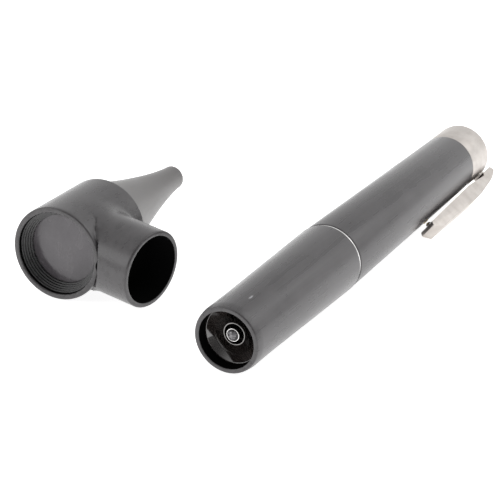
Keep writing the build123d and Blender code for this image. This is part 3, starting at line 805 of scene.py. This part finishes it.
@dataclass
class FrontSection(Assembly):
    """Black front section with its reflector and lamp; sizes in millimetres from the mouth."""

    mouth_r: float = 8.5
    mouth_bore_r: float = 7.3
    seat_r: float = 8.75
    seat_start: float = 2.0
    seat_end: float = 11.0
    end: float = 53.4
    end_r: float = 9.5
    bore_r: float = 7.4
    pocket_r: float = 8.35
    pocket_start: float = 45.4
    cone_start: float = 3.2
    cone_end: float = 9.2
    cone_stop: float = 13.7
    notch_r: float = 0.6
    notch: tuple = (3.0, 8.2)
    collar_r: float = 2.9
    collar_bore_r: float = 2.6
    collar_start: float = 4.0
    collar_flange_r: float = 4.2
    collar_flange: float = 0.8
    lamp_tip: float = 2.6
    shell_r: float = 1.7
    glass_r: float = 1.48
    shell_start: float = 3.34
    shell_end: float = 12.6
    glass_end: float = 9.6

    def barrel(self) -> None:
        """Makes the tapered barrel with its rounded mouth."""
        obj = self.turned("front_shell", [
            Corner(self.mouth_bore_r, 0.0, 0.14),
            Corner(self.mouth_r - 0.12, 0.0, 0.3),
            Corner(self.mouth_r + 0.05, 0.7, 0.3),
            Corner(self.seat_r, self.seat_start, 0.6),
            Corner(self.seat_r, self.seat_end, 1.5),
            Corner(self.end_r, self.end - 0.3, 0.22),
            Corner(self.end_r - 0.22, self.end, 0.12),
            Corner(self.pocket_r, self.end),
            Corner(self.pocket_r, self.pocket_start),
            Corner(self.bore_r, self.pocket_start),
            Corner(self.bore_r, self.cone_stop),
            Corner(self.mouth_bore_r, self.cone_stop),
        ], steps=192)
        self.keep(obj, "front_barrel", Body.FRONT, "front_black", Palette.BARREL_FRONT)

    def reflector(self) -> None:
        """Makes the glossy funnel round the lamp, with its keyway notch."""
        hole = self.collar_r + 0.05
        flange_hole = self.collar_flange_r + 0.05
        flange_start = self.cone_stop - self.collar_flange - 0.05
        obj = self.turned("reflector_cone", [
            Corner(self.mouth_bore_r - 0.28, self.cone_start, 0.08),
            Corner(self.mouth_bore_r, self.cone_start, 0.05),
            Corner(self.mouth_bore_r, self.cone_stop),
            Corner(flange_hole, self.cone_stop),
            Corner(flange_hole, flange_start),
            Corner(hole, flange_start),
            Corner(hole, self.cone_end, 0.2),
        ], steps=160)
        bm = rod(self.notch_r, *self.notch, 24)
        bm.transform(Matrix.Translation((0.62 * (self.mouth_bore_r + hole), 0.0, 0.0)))
        tool = bring(bm, "notch_tool", self.place.matrix())
        combine(obj, tool, Carve.CUT)
        smooth(obj)
        self.keep(obj, "reflector", Body.FRONT, "reflector_black", Palette.CONE_BLACK)

    def lamp(self) -> None:
        """Makes the bright collar, the lamp's metal shell and its glass."""
        collar = self.turned("lamp_collar", [
            Corner(self.collar_bore_r, self.collar_start, 0.1),
            Corner(self.collar_r, self.collar_start, 0.1),
            Corner(self.collar_r, self.cone_stop - self.collar_flange, 0.1),
            Corner(self.collar_flange_r, self.cone_stop - self.collar_flange, 0.1),
            Corner(self.collar_flange_r, self.cone_stop, 0.1),
            Corner(self.collar_bore_r, self.cone_stop),
        ], steps=96)
        self.keep(collar, "bulb_collar", Body.FRONT, "bright_metal", Palette.COLLAR)
        base_r = self.collar_bore_r - 0.05
        shell = self.turned("lamp_shell", [
            Corner(self.glass_r, self.shell_start, 0.05),
            Corner(self.shell_r, self.shell_start, 0.1),
            Corner(self.shell_r, self.shell_end - 1.0, 0.1),
            Corner(base_r, self.shell_end - 1.0, 0.1),
            Corner(base_r, self.shell_end, 0.1),
            Corner(0.0, self.shell_end),
            Corner(0.0, self.glass_end),
            Corner(self.glass_r, self.glass_end),
        ], steps=96)
        self.keep(shell, "bulb_shell", Body.FRONT, "bright_metal", Palette.CHROME)
        glass = self.turned("lamp_envelope", [
            Corner(0.0, self.lamp_tip),
            Corner(self.glass_r * 0.62, self.lamp_tip + 0.02, 0.7),
            Corner(self.glass_r, self.lamp_tip + 1.0, 0.7),
            Corner(self.glass_r, self.glass_end),
            Corner(0.0, self.glass_end),
        ], closed=False, steps=96)
        self.keep(glass, "bulb_glass", Body.FRONT, "lamp_glass", Palette.LAMP)

    def build(self) -> None:
        """Builds the whole section."""
        self.barrel()
        self.reflector()
        self.lamp()
        self.carry(
            bulb_insulator=Palette.FIBRE, bulb_contact=Palette.BRASS,
            contact_carrier=Palette.CARRIER, front_contact=Palette.BRASS,
            front_spring=Palette.STEEL,
        )


@dataclass
class JointSleeve(Assembly):
    """Threaded metal sleeve that joins the two sections; its flange shows in the seam."""

    bore_r: float = 7.4
    outer_r: float = 8.3
    flange_r: float = 9.22
    start: float = 45.45
    seam_low: float = 53.45
    seam_high: float = 53.95
    end: float = 61.95
    thread_start: float = 54.5
    thread_pitch: float = 1.0
    thread_depth: float = 0.25
    thread_turns: int = 6

    def build(self) -> None:
        """Builds the sleeve with its flange and thread grooves."""
        corners = [
            Corner(self.bore_r, self.start),
            Corner(self.outer_r, self.start, 0.15),
            Corner(self.outer_r, self.seam_low),
            Corner(self.flange_r, self.seam_low, 0.08),
            Corner(self.flange_r, self.seam_high, 0.08),
            Corner(self.outer_r, self.seam_high),
        ]
        for index in range(self.thread_turns):
            middle = self.thread_start + self.thread_pitch * index + 0.5
            corners.append(Corner(self.outer_r, middle - self.thread_depth, 0.05))
            corners.append(Corner(self.outer_r - self.thread_depth, middle, 0.08))
            corners.append(Corner(self.outer_r, middle + self.thread_depth, 0.05))
        corners.append(Corner(self.outer_r, self.end, 0.15))
        corners.append(Corner(self.bore_r, self.end))
        obj = self.turned("screw_sleeve", corners, steps=160)
        self.keep(obj, "joint_sleeve", Body.SLEEVE, "bright_metal", Palette.CHROME)


@dataclass
class RearSection(Assembly):
    """Black rear barrel with its contact stud, metal cap and cells; sizes from the mouth."""

    start: float = 54.0
    start_r: float = 9.38
    end: float = 130.6
    end_r: float = 8.33
    pocket_r: float = 8.35
    pocket_end: float = 62.0
    bore_r: float = 7.4
    insulator_r: float = 7.8
    insulator_start: float = 122.6
    insulator_end: float = 134.6
    cap_end: float = 142.3
    cap_floor: float = 140.7
    cap_bore_r: float = 7.2
    cap_rounding: float = 1.0
    stud_s: float = 100.6
    stud_r: float = 0.9
    stud_dome: float = 0.15
    stud_hole: tuple = (5.0, 12.0)
    slot_width: float = 3.2
    slot_start: float = 137.55
    slot_end: float = 140.55
    tongue_r: float = 6.7

    def radius_at(self, s: float) -> float:
        """Outer radius of the barrel at a distance from the mouth."""
        return self.start_r + (self.end_r - self.start_r) * (s - self.start) / (self.end - self.start)

    def across(self, s: float) -> Matrix:
        """Matrix that turns a spun piece's axis to point at the clip, at a distance from the mouth."""
        return Matrix.Translation((0.0, 0.0, s)) @ Matrix.Rotation(math.radians(90.0), 4, "Y")

    def barrel(self) -> None:
        """Makes the barrel with the hole for the contact stud."""
        obj = self.turned("rear_shell", [
            Corner(self.pocket_r, self.start),
            Corner(self.start_r - 0.25, self.start, 0.12),
            Corner(self.start_r, self.start + 0.25, 0.22),
            Corner(self.end_r, self.end, 0.1),
            Corner(self.insulator_r, self.end),
            Corner(self.insulator_r, self.insulator_start),
            Corner(self.bore_r, self.insulator_start),
            Corner(self.bore_r, self.pocket_end),
            Corner(self.pocket_r, self.pocket_end),
        ], steps=192)
        hole_r = self.stud_r + 0.08
        bm = rod(hole_r, *self.stud_hole, 48)
        bm.transform(self.across(self.stud_s))
        tool = bring(bm, "stud_hole_tool", self.place.matrix())
        combine(obj, tool, Carve.CUT)
        smooth(obj)
        self.keep(obj, "rear_barrel", Body.REAR, "rear_black", Palette.BARREL_REAR)

    def stud(self) -> None:
        """Makes the domed contact stud under the clip's ball."""
        top = self.radius_at(self.stud_s) + self.stud_dome
        obj = self.turned("switch_stud", [
            Corner(0.0, self.bore_r + 0.1),
            Corner(self.stud_r, self.bore_r + 0.1),
            Corner(self.stud_r, top, 0.25),
            Corner(0.0, top),
        ], closed=False, steps=48, matrix=self.across(self.stud_s))
        self.keep(obj, "contact_stud", Body.REAR, "contact_brass", Palette.BRASS)

    def cap(self) -> None:
        """Makes the satin cap with its rounded end and the slot for the clip's tongue."""
        obj = self.turned("end_cap", [
            Corner(self.insulator_r, self.end),
            Corner(self.end_r, self.end, 0.08),
            Corner(self.end_r, self.cap_end, self.cap_rounding),
            Corner(0.0, self.cap_end),
            Corner(0.0, self.cap_floor),
            Corner(self.cap_bore_r, self.cap_floor),
            Corner(self.cap_bore_r, self.insulator_end),
            Corner(self.insulator_r, self.insulator_end),
        ], steps=160)
        half = self.slot_width / 2
        bm = block((self.tongue_r - 0.3, 12.0), (-half, half), (self.slot_start, self.slot_end))
        combine(obj, bring(bm, "slot_tool", self.place.matrix()), Carve.CUT)
        smooth(obj)
        self.keep(obj, "tail_cap", Body.REAR, "satin_nickel", Palette.NICKEL)

    def build(self) -> None:
        """Builds the whole section."""
        self.barrel()
        self.stud()
        self.cap()
        self.carry(
            battery_front=Palette.JACKET, battery_rear=Palette.JACKET, cap_insulator=Palette.FIBRE,
            tail_contact=Palette.BRASS, tail_spring=Palette.STEEL, clip_pin=Palette.STEEL,
        )


@dataclass
class PocketClip(Assembly):
    """Pressed clip, a channel that opens towards the barrel, with its switch ball."""

    width: float = 5.2
    sheet: float = 0.65
    tip: float = 98.0
    nose: float = 2.3
    nose_drop: float = 2.1
    nose_cut: float = 0.9
    end_wall: float = 0.9
    corner: float = 127.5
    step: float = 126.9
    bend: float = 139.3
    back: float = 143.7
    outer_r: float = 13.22
    bend_drop: float = 1.45
    back_drop: float = 3.1
    wall_r: float = 10.0
    step_r: float = 8.95
    arch_lift: float = 0.7
    neck_set: float = 0.8
    tongue_width: float = 2.6
    tongue_r: float = 6.7
    tongue_half: float = 1.2
    pin_s: float = 139.05
    pin_r: float = 0.65
    pin_place_r: float = 7.45
    ball_r: float = 1.0
    ball_steps: int = 15
    ball_s: float = 100.6
    ball_place_r: float = 10.2412
    shank_r: float = 0.45

    def outline(self) -> list[Corner]:
        """Side outline of the clip as radius and distance from the mouth.

        Returns:
            Its corners, as radius and height in the handle's frame.
        """
        neck = self.pin_s - self.tongue_half
        return [
            Corner(self.tongue_r + 2.0, self.back - self.neck_set, 0.3),
            Corner(self.outer_r - self.back_drop, self.back, 0.6),
            Corner(self.outer_r - self.bend_drop, self.bend, 2.0),
            Corner(self.outer_r, self.corner, 2.5),
            Corner(self.outer_r, self.tip + self.nose, 0.4),
            Corner(self.outer_r - self.nose_drop, self.tip, 0.3),
            Corner(self.wall_r, self.tip + self.nose_cut, 0.3),
            Corner(self.step_r, self.step, 1.0),
            Corner(self.step_r + self.arch_lift, neck - self.neck_set, 0.3),
            Corner(self.tongue_r + 2.1, neck, 0.25),
        ]

    def trough(self) -> list[Corner]:
        """Side outline of the hollow inside the clip, one sheet under its outer face.

        Returns:
            Its corners, as radius and height in the handle's frame.
        """
        start = self.tip + self.end_wall
        end = self.pin_s - self.tongue_half - self.sheet
        return [
            Corner(1.0, start),
            Corner(self.outer_r - self.nose_drop, start, 0.2),
            Corner(self.outer_r - self.sheet, self.tip + self.nose + self.sheet, 0.3),
            Corner(self.outer_r - self.sheet, self.corner, 2.0),
            Corner(self.outer_at(end) - self.sheet, end, 0.2),
            Corner(1.0, end),
        ]

    def outer_at(self, s: float) -> float:
        """Radius of the clip's outer face at a distance from the mouth.

        Args:
            s: millimetres from the mouth.

        Returns:
            The radius, in millimetres.
        """
        if s < self.tip + self.nose:
            return self.outer_r - self.nose_drop * (self.tip + self.nose - s) / self.nose
        if s < self.corner:
            return self.outer_r
        if s < self.bend:
            return self.outer_r - self.bend_drop * (s - self.corner) / (self.bend - self.corner)
        share = (s - self.bend) / (self.back - self.bend)
        return self.outer_r - self.bend_drop - (self.back_drop - self.bend_drop) * share

    def plate(self, corners: list[Corner], width: float) -> bmesh.types.BMesh:
        """Draws a side outline out across the handle.

        Args:
            corners: the outline, as radius and distance from the mouth.
            width: the plate's width.

        Returns:
            The plate, in the handle's frame.
        """
        bm = bmesh.new()
        wire(bm, corners, True, 5)
        side = bmesh.ops.contextual_create(bm, geom=bm.edges[:])["faces"]
        bmesh.ops.translate(bm, vec=(0.0, -width / 2, 0.0), verts=bm.verts[:])
        grown = bmesh.ops.extrude_face_region(bm, geom=side)["geom"]
        moved = [g for g in grown if isinstance(g, bmesh.types.BMVert)]
        bmesh.ops.translate(bm, vec=(0.0, width, 0.0), verts=moved)
        bmesh.ops.recalc_face_normals(bm, faces=bm.faces[:])
        return bm

    def round_rims(self, bm: bmesh.types.BMesh, depth: float, radius: float) -> None:
        """Rounds the long edges that run under the clip's outer face.

        Args:
            bm: the plate.
            depth: how far under the outer face the edges lie at most.
            radius: the rounding.
        """
        rims = []
        for edge in bm.edges:
            a, b = edge.verts[0].co, edge.verts[1].co
            high = min(a.x - self.outer_at(a.z), b.x - self.outer_at(b.z)) > -depth
            if high and abs(a.y - b.y) < 1e-4:
                rims.append(edge)
        bmesh.ops.bevel(
            bm, geom=rims, offset=radius, offset_type="OFFSET", segments=4, profile=0.5,
            affect="EDGES", material=-1, clamp_overlap=True,
        )

    def channel(self) -> None:
        """Makes the clip: its outline drawn across the width, its long edges rounded, its inside cut out."""
        bm = self.plate(self.outline(), self.width)
        self.round_rims(bm, 0.4, 0.5)
        obj = bring(bm, "clip_channel", self.place.matrix())
        trough = self.plate(self.trough(), self.width - 2 * self.sheet)
        self.round_rims(trough, self.sheet + 0.3, 0.3)
        combine(obj, bring(trough, "trough_tool", self.place.matrix()), Carve.CUT)
        half_tongue = self.tongue_width / 2
        tongue = block(
            (self.tongue_r, self.outer_r - self.back_drop), (-half_tongue, half_tongue),
            (self.pin_s - self.tongue_half, self.pin_s + self.tongue_half),
        )
        combine(obj, bring(tongue, "tongue_tool", self.place.matrix()), Carve.JOIN)
        hole = rod(self.pin_r, -3.0, 3.0, 32)
        across = Matrix.Rotation(math.pi / 2, 4, "X")
        hole.transform(Matrix.Translation((self.pin_place_r, 0.0, self.pin_s)) @ across)
        combine(obj, bring(hole, "pin_hole_tool", self.place.matrix()), Carve.CUT)
        smooth(obj, math.radians(40.0))
        self.keep(obj, "pocket_clip", Body.CLIP, "satin_nickel", Palette.NICKEL)

    def ball(self) -> None:
        """Makes the polished switch ball on its shank."""
        r = self.ball_r
        spread = self.shank_r / r
        low = self.ball_place_r - r
        neck = self.ball_place_r + r * math.sqrt(1.0 - spread * spread)
        corners = [Corner(0.0, low)]
        for step in range(1, self.ball_steps):
            turn = -math.pi / 2 + (math.pi / 2 + math.acos(spread)) * step / self.ball_steps
            corners.append(Corner(r * math.cos(turn), self.ball_place_r + r * math.sin(turn)))
        corners.append(Corner(self.shank_r, neck))
        corners.append(Corner(self.shank_r, self.outer_r - 0.15))
        corners.append(Corner(0.0, self.outer_r - 0.15))
        across = Matrix.Translation((0.0, 0.0, self.ball_s)) @ Matrix.Rotation(math.radians(90.0), 4, "Y")
        obj = self.turned("switch_ball", corners, closed=False, steps=48, matrix=across)
        self.keep(obj, "clip_ball", Body.CLIP, "bright_metal", Palette.CHROME)

    def build(self) -> None:
        """Builds the clip and its ball."""
        self.channel()
        self.ball()


# ---- Head -------------------------------------------------------------------------------


@dataclass
class Head(Assembly):
    """Viewing head: a tube with a leaning socket moulded to it; sizes from the eyepiece rim."""

    rim_r: float = 12.45
    rear_r: float = 12.1
    length: float = 24.5
    bore_r: float = 11.0
    throat_r: float = 10.3
    socket_centre: float = 11.6
    mount_reach: float = 19.95
    socket_lean: float = 11.8
    socket_r: float = 10.22
    socket_reach: float = 24.6
    socket_floor: float = 15.6
    socket_bore_r: float = 8.8
    light_hole_r: float = 3.2
    crotch_gap: float = 0.5
    crotch_depth: float = 1.4
    throat_start: float = 7.9
    seat_start: float = 19.3
    blend: float = 2.3
    grid: float = 0.42
    lens_depth: float = 4.2
    lens_r: float = 10.9
    lens_edge: float = 1.2
    lens_bulge: float = 0.9
    ring_start: float = 1.0
    ring_inner_r: float = 9.2
    ring_steps: int = 5

    def socket_turn(self) -> Matrix:
        """Matrix from the socket's own frame, its axis along Z, to the head's frame."""
        turn = Matrix.Rotation(math.radians(90.0 + self.socket_lean), 4, "Y")
        return Matrix.Translation((0.0, 0.0, self.socket_centre)) @ turn

    def tube_radius(self, z: float) -> float:
        """Outer radius of the tube at a height."""
        share = min(max(z / self.length, 0.0), 1.0)
        return self.rim_r + (self.rear_r - self.rim_r) * share

    def heights(self, point: Vector) -> tuple[float, float]:
        """Distances of a point from the tube's and the socket's outer faces.

        Args:
            point: a point in the head's frame, in millimetres.

        Returns:
            Distance outside the tube, and outside the socket.
        """
        tube = math.hypot(point.x, point.y) - self.tube_radius(point.z)
        lean = math.radians(self.socket_lean)
        way = Vector((math.cos(lean), 0.0, -math.sin(lean)))
        arm = point - Vector((0.0, 0.0, self.socket_centre))
        along = arm.dot(way)
        socket = (arm - way * along).length - self.socket_r
        return tube, socket

    def blended(self, point: Vector) -> float:
        """Height of a point over the tube and socket joined by a soft fillet.

        Args:
            point: a point in the head's frame, in millimetres.

        Returns:
            The height, negative inside.
        """
        tube, socket = self.heights(point)
        fade = min(max((point.z - self.crotch_depth - 0.1) / 2.2, 0.0), 1.0)
        reach = self.blend * fade
        if reach < 1e-4:
            return min(tube, socket)
        share = max(reach - abs(tube - socket), 0.0) / reach
        return min(tube, socket) - share * share * reach * 0.25

    def slope(self, point: Vector) -> Vector:
        """Direction in which the blended height grows fastest, at a point in the head's frame.

        Args:
            point: a point in the head's frame, in millimetres.

        Returns:
            The direction, with the slope as its length.
        """
        small = 0.02
        parts = []
        for axis in range(3):
            step = Vector((0.0, 0.0, 0.0))
            step[axis] = small
            parts.append(self.blended(point + step) - self.blended(point - step))
        return Vector(parts) / (2 * small)

    def soften(self, obj: bpy.types.Object) -> None:
        """Draws the crease between tube and socket out into a soft fillet.

        Args:
            obj: the head's shell; its normals are set to the fillet's own.
        """
        to_head = self.place.matrix().inverted()
        to_row = self.place.matrix()
        turn = to_row.to_3x3().normalized()
        normals = [Vector((0.0, 0.0, 0.0))] * len(obj.data.vertices)
        for vert in obj.data.vertices:
            point = to_head @ vert.co
            tube, socket = self.heights(point)
            on_skin = min(abs(tube), abs(socket)) < 0.01 and min(tube, socket) > -0.02
            if not on_skin or abs(tube - socket) > self.blend * 1.4:
                continue
            if point.z < self.crotch_depth + 0.12 or point.x < 2.0:
                continue
            for _ in range(4):
                way = self.slope(point)
                point = point - way * (self.blended(point) / max(way.length_squared, 0.05))
            vert.co = to_row @ point
            normals[vert.index] = (turn @ self.slope(point)).normalized()
        obj.data.normals_split_custom_set_from_vertices(normals)

    def shell(self) -> None:
        """Makes the moulded shell: tube and socket joined, bored and softened."""
        tube = spun([
            Corner(0.0, 0.0),
            Corner(self.rim_r - 0.05, 0.0, 0.45),
            Corner(self.rim_r, 0.9, 0.3),
            Corner(self.rear_r, self.length, 0.35),
            Corner(0.0, self.length),
        ], closed=False, steps=184, longest=self.grid)
        obj = bring(tube, "head_casting", self.place.matrix())
        arm = spun([
            Corner(0.0, 3.0),
            Corner(self.socket_r, 3.0),
            Corner(self.socket_r, self.socket_reach, 0.4),
            Corner(0.0, self.socket_reach),
        ], closed=False, steps=156, longest=self.grid)
        arm.transform(self.socket_turn())
        arm_obj = bring(arm, "socket_tool", self.place.matrix())
        clear_r = self.rim_r + self.crotch_gap
        relief = spun([
            Corner(0.0, -12.0), Corner(clear_r, -12.0), Corner(clear_r, self.crotch_depth, 0.3),
            Corner(0.0, self.crotch_depth),
        ], closed=False, steps=128)
        combine(arm_obj, bring(relief, "relief_tool", self.place.matrix()), Carve.CUT)
        combine(obj, arm_obj, Carve.JOIN)
        for tool in (self.sight_bore(), self.socket_bore()):
            combine(obj, tool, Carve.CUT)
        smooth(obj)
        self.soften(obj)
        self.keep(obj, "head_shell", Body.HEAD, "head_black", Palette.HEAD_BLACK)

    def sight_bore(self) -> bpy.types.Object:
        """Makes the cutter of the stepped bore along the line of sight.

        Returns:
            The tool that cuts it.
        """
        bm = spun([
            Corner(0.0, -1.0),
            Corner(self.bore_r + 1.2, -1.0),
            Corner(self.bore_r + 0.2, 0.0),
            Corner(self.bore_r, 0.2),
            Corner(self.bore_r, self.throat_start),
            Corner(self.throat_r, self.throat_start),
            Corner(self.throat_r, self.seat_start),
            Corner(self.bore_r, self.seat_start),
            Corner(self.bore_r, self.length + 1.0),
            Corner(0.0, self.length + 1.0),
        ], closed=False, steps=184)
        return bring(bm, "sight_tool", self.place.matrix())

    def socket_bore(self) -> bpy.types.Object:
        """Makes the cutter of the socket's bore and light hole.

        Returns:
            The tool that cuts it.
        """
        bm = spun([
            Corner(0.0, 5.2),
            Corner(self.light_hole_r, 5.2),
            Corner(self.light_hole_r, self.socket_floor),
            Corner(self.socket_bore_r, self.socket_floor),
            Corner(self.socket_bore_r, self.socket_reach - 0.25),
            Corner(self.socket_bore_r + 0.3, self.socket_reach + 0.05),
            Corner(self.socket_bore_r + 0.3, self.socket_reach + 1.0),
            Corner(0.0, self.socket_reach + 1.0),
        ], closed=False, steps=156)
        bm.transform(self.socket_turn())
        return bring(bm, "socket_bore_tool", self.place.matrix())

    def window(self) -> None:
        """Makes the lens and the stepped ring that holds it."""
        top = self.lens_depth + self.lens_edge
        lens = self.turned("sight_lens", [
            Corner(0.0, self.lens_depth),
            Corner(self.lens_r, self.lens_depth, 0.1),
            Corner(self.lens_r, top, 0.1),
            Corner(self.lens_r * 0.7, top + self.lens_bulge * 0.51),
            Corner(self.lens_r * 0.35, top + self.lens_bulge * 0.88),
            Corner(0.0, top + self.lens_bulge),
        ], closed=False, steps=128)
        self.keep(lens, "lens", Body.HEAD, "lens_glass", Palette.LENS)
        outer = self.bore_r - 0.05
        lip = outer - 0.4
        fall = (self.lens_depth - 0.05 - self.ring_start) / self.ring_steps
        narrow = (lip - self.ring_inner_r) / (self.ring_steps - 1)
        corners = [Corner(outer, self.lens_depth - 0.05), Corner(outer, self.ring_start, 0.08)]
        for index in range(self.ring_steps):
            r = lip - narrow * index
            corners.append(Corner(r, self.ring_start + fall * index, 0.09))
            corners.append(Corner(r, self.ring_start + fall * (index + 1), 0.05))
        ring = self.turned("sight_ring", corners, steps=160)
        self.keep(ring, "lens_ring", Body.HEAD, "head_black", Palette.RING_BLACK)

    def build(self) -> None:
        """Builds the whole head."""
        self.shell()
        self.window()
        self.carry(
            lens_gasket=Palette.GASKET, mirror_carrier=Palette.CARRIER,
            deflector_mirror=Palette.MIRROR, speculum_seat=Palette.CARRIER,
        )


@dataclass
class Speculum(Assembly):
    """Flared ear speculum that pulls off the tube's rear end."""

    start: float = 24.5
    length: float = 38.2
    base_r: float = 10.9
    tip_r: float = 3.27
    power: float = 1.41
    wall: float = 0.85
    spigot_r: float = 10.95
    spigot_start: float = 20.5
    stations: int = 26

    def flare(self, inset: float) -> list[Corner]:
        """Stations of the flare from base to tip.

        Args:
            inset: how far inside the outer skin.

        Returns:
            The corners, base first.
        """
        found = []
        for index in range(self.stations + 1):
            share = index / self.stations
            r = self.tip_r + (self.base_r - self.tip_r) * (1 - share) ** self.power - inset
            found.append(Corner(r, self.start + self.length * share))
        return found

    def build(self) -> None:
        """Builds the speculum with its rounded tip."""
        outside = self.flare(0.0)
        inside = self.flare(self.wall)
        tip = self.start + self.length
        outside[-1] = Corner(self.tip_r, tip, 0.42)
        inside[-1] = Corner(self.tip_r - self.wall, tip, 0.25)
        corners = (
            [Corner(self.spigot_r, self.spigot_start, 0.2), Corner(self.spigot_r, self.start)]
            + outside + inside[::-1]
            + [Corner(self.base_r - self.wall, self.spigot_start, 0.1)]
        )
        obj = self.turned("ear_speculum", corners, steps=160)
        self.keep(obj, "speculum", Body.SPECULUM, "speculum_black", Palette.SPECULUM_BLACK)


# ---- Studio -----------------------------------------------------------------------------


@dataclass
class Studio:
    """Pale floor, soft light and the camera; sizes in metres and degrees."""

    camera_at: tuple = (0.2346, -0.44176, 0.2053)
    camera_down: float = 22.34
    camera_left: float = 28.19
    focal: float = 144.0
    floor_size: float = 4.0
    floor_glow: float = 0.85
    horizon: float = 1.08
    zenith: float = 0.9
    rise: tuple = (0.12, 0.62)
    front: tuple = (0.45, -0.86, 0.24)
    front_dim: float = 0.85
    front_spread: tuple = (0.25, 0.9)
    aim: tuple = (0.02, 0.0, 0.01)
    key_at: tuple = (0.6, 0.55, 0.7)
    key_size: float = 0.7
    key_watts: float = 1.6
    fill_at: tuple = (-0.5, -0.6, 0.35)
    fill_aim: tuple = (0.0, 0.0, 0.01)
    fill_size: float = 0.4
    fill_watts: float = 0.8

    def camera(self) -> None:
        """Places the camera."""
        data = bpy.data.cameras.new("camera")
        data.lens = self.focal
        data.sensor_width = 36.0
        data.clip_start = 0.01
        data.clip_end = 20.0
        obj = bpy.data.objects.new("camera", data)
        bpy.context.scene.collection.objects.link(obj)
        obj.location = self.camera_at
        obj.rotation_euler = (math.radians(90.0 - self.camera_down), 0.0, math.radians(self.camera_left))
        bpy.context.scene.camera = obj

    def floor(self) -> None:
        """Lays the pale floor."""
        bm = bmesh.new()
        bmesh.ops.create_grid(bm, x_segments=8, y_segments=8, size=self.floor_size / 2)
        obj = bring(bm, "floor", Matrix.Translation((0.0, 0.0, -0.0001)))
        n = Nodes("floor_paper")
        paper = n.tint(n.noise(60.0, 2.0), (0.88, 0.88, 0.88), (0.91, 0.91, 0.91))
        n.set(Base_Color=paper, Roughness=0.9)
        n.set(Emission_Color=(1.0, 1.0, 1.0, 1.0), Emission_Strength=self.floor_glow)
        obj.data.materials.append(n.material)

    def softbox(self, name: str, at: tuple, aim: tuple, size: float, watts: float) -> None:
        """Hangs a square soft light.

        Args:
            name: the light's name.
            at: where it hangs.
            aim: the point that it faces.
            size: its side.
            watts: its power.
        """
        data = bpy.data.lights.new(name, "AREA")
        data.size = size
        data.energy = watts
        obj = bpy.data.objects.new(name, data)
        bpy.context.scene.collection.objects.link(obj)
        obj.location = at
        obj.rotation_euler = (Vector(aim) - Vector(at)).to_track_quat("-Z", "Y").to_euler()

    def ramp(
        self, tree: bpy.types.NodeTree, value: bpy.types.NodeSocket, spread: tuple, low: float, high: float
    ) -> bpy.types.Node:
        """Adds a ramp to the surround.

        Args:
            tree: the surround's node tree.
            value: what the ramp follows.
            spread: the value where the ramp starts and the one where it ends.
            low: result at its start.
            high: result at its end.

        Returns:
            The ramp's node.
        """
        node = tree.nodes.new("ShaderNodeMapRange")
        limits = {"From Min": spread[0], "From Max": spread[1], "To Min": low, "To Max": high}
        for name, limit in limits.items():
            node.inputs[name].default_value = limit
        tree.links.new(value, node.inputs["Value"])
        return node

    def sky(self) -> None:
        """Makes the studio's white surround, a little darker overhead and dark in front of the pieces."""
        world = bpy.data.worlds.new("studio")
        world.use_nodes = True
        bpy.context.scene.world = world
        tree = world.node_tree
        coords = tree.nodes.new("ShaderNodeTexCoord").outputs["Generated"]
        split = tree.nodes.new("ShaderNodeSeparateXYZ")
        tree.links.new(coords, split.inputs["Vector"])
        height = self.ramp(tree, split.outputs["Z"], self.rise, self.horizon, self.zenith)
        ahead = tree.nodes.new("ShaderNodeVectorMath")
        ahead.operation = "DOT_PRODUCT"
        ahead.inputs[1].default_value = self.front
        tree.links.new(coords, ahead.inputs[0])
        dim = self.ramp(tree, ahead.outputs["Value"], self.front_spread, 1.0, 1.0 - self.front_dim)
        dim.interpolation_type = "SMOOTHSTEP"
        product = tree.nodes.new("ShaderNodeMath")
        product.operation = "MULTIPLY"
        tree.links.new(height.outputs["Result"], product.inputs[0])
        tree.links.new(dim.outputs["Result"], product.inputs[1])
        backdrop = tree.nodes["Background"]
        backdrop.inputs["Color"].default_value = (1.0, 1.0, 1.0, 1.0)
        tree.links.new(product.outputs["Value"], backdrop.inputs["Strength"])

    def build(self) -> None:
        """Sets the whole studio up."""
        bpy.context.scene.view_settings.view_transform = "Standard"
        self.camera()
        self.floor()
        self.sky()
        self.softbox("key", self.key_at, self.aim, self.key_size, self.key_watts)
        self.softbox("fill", self.fill_at, self.fill_aim, self.fill_size, self.fill_watts)


def main() -> None:
    """Builds the otoscope and its studio."""
    logging.basicConfig(level=logging.INFO)
    wardrobe = Wardrobe()
    handle = handle_place()
    head = head_place(Head.mount_reach, Head.socket_centre)
    for assembly in (
        FrontSection(handle, wardrobe),
        JointSleeve(handle, wardrobe),
        RearSection(handle, wardrobe),
        PocketClip(handle, wardrobe),
        Head(head, wardrobe),
        Speculum(head, wardrobe),
    ):
        assembly.build()
        log.info("%s done: %s", type(assembly).__name__, ", ".join(assembly.pieces))
    Studio().build()


if __name__ == "__main__":
    main()
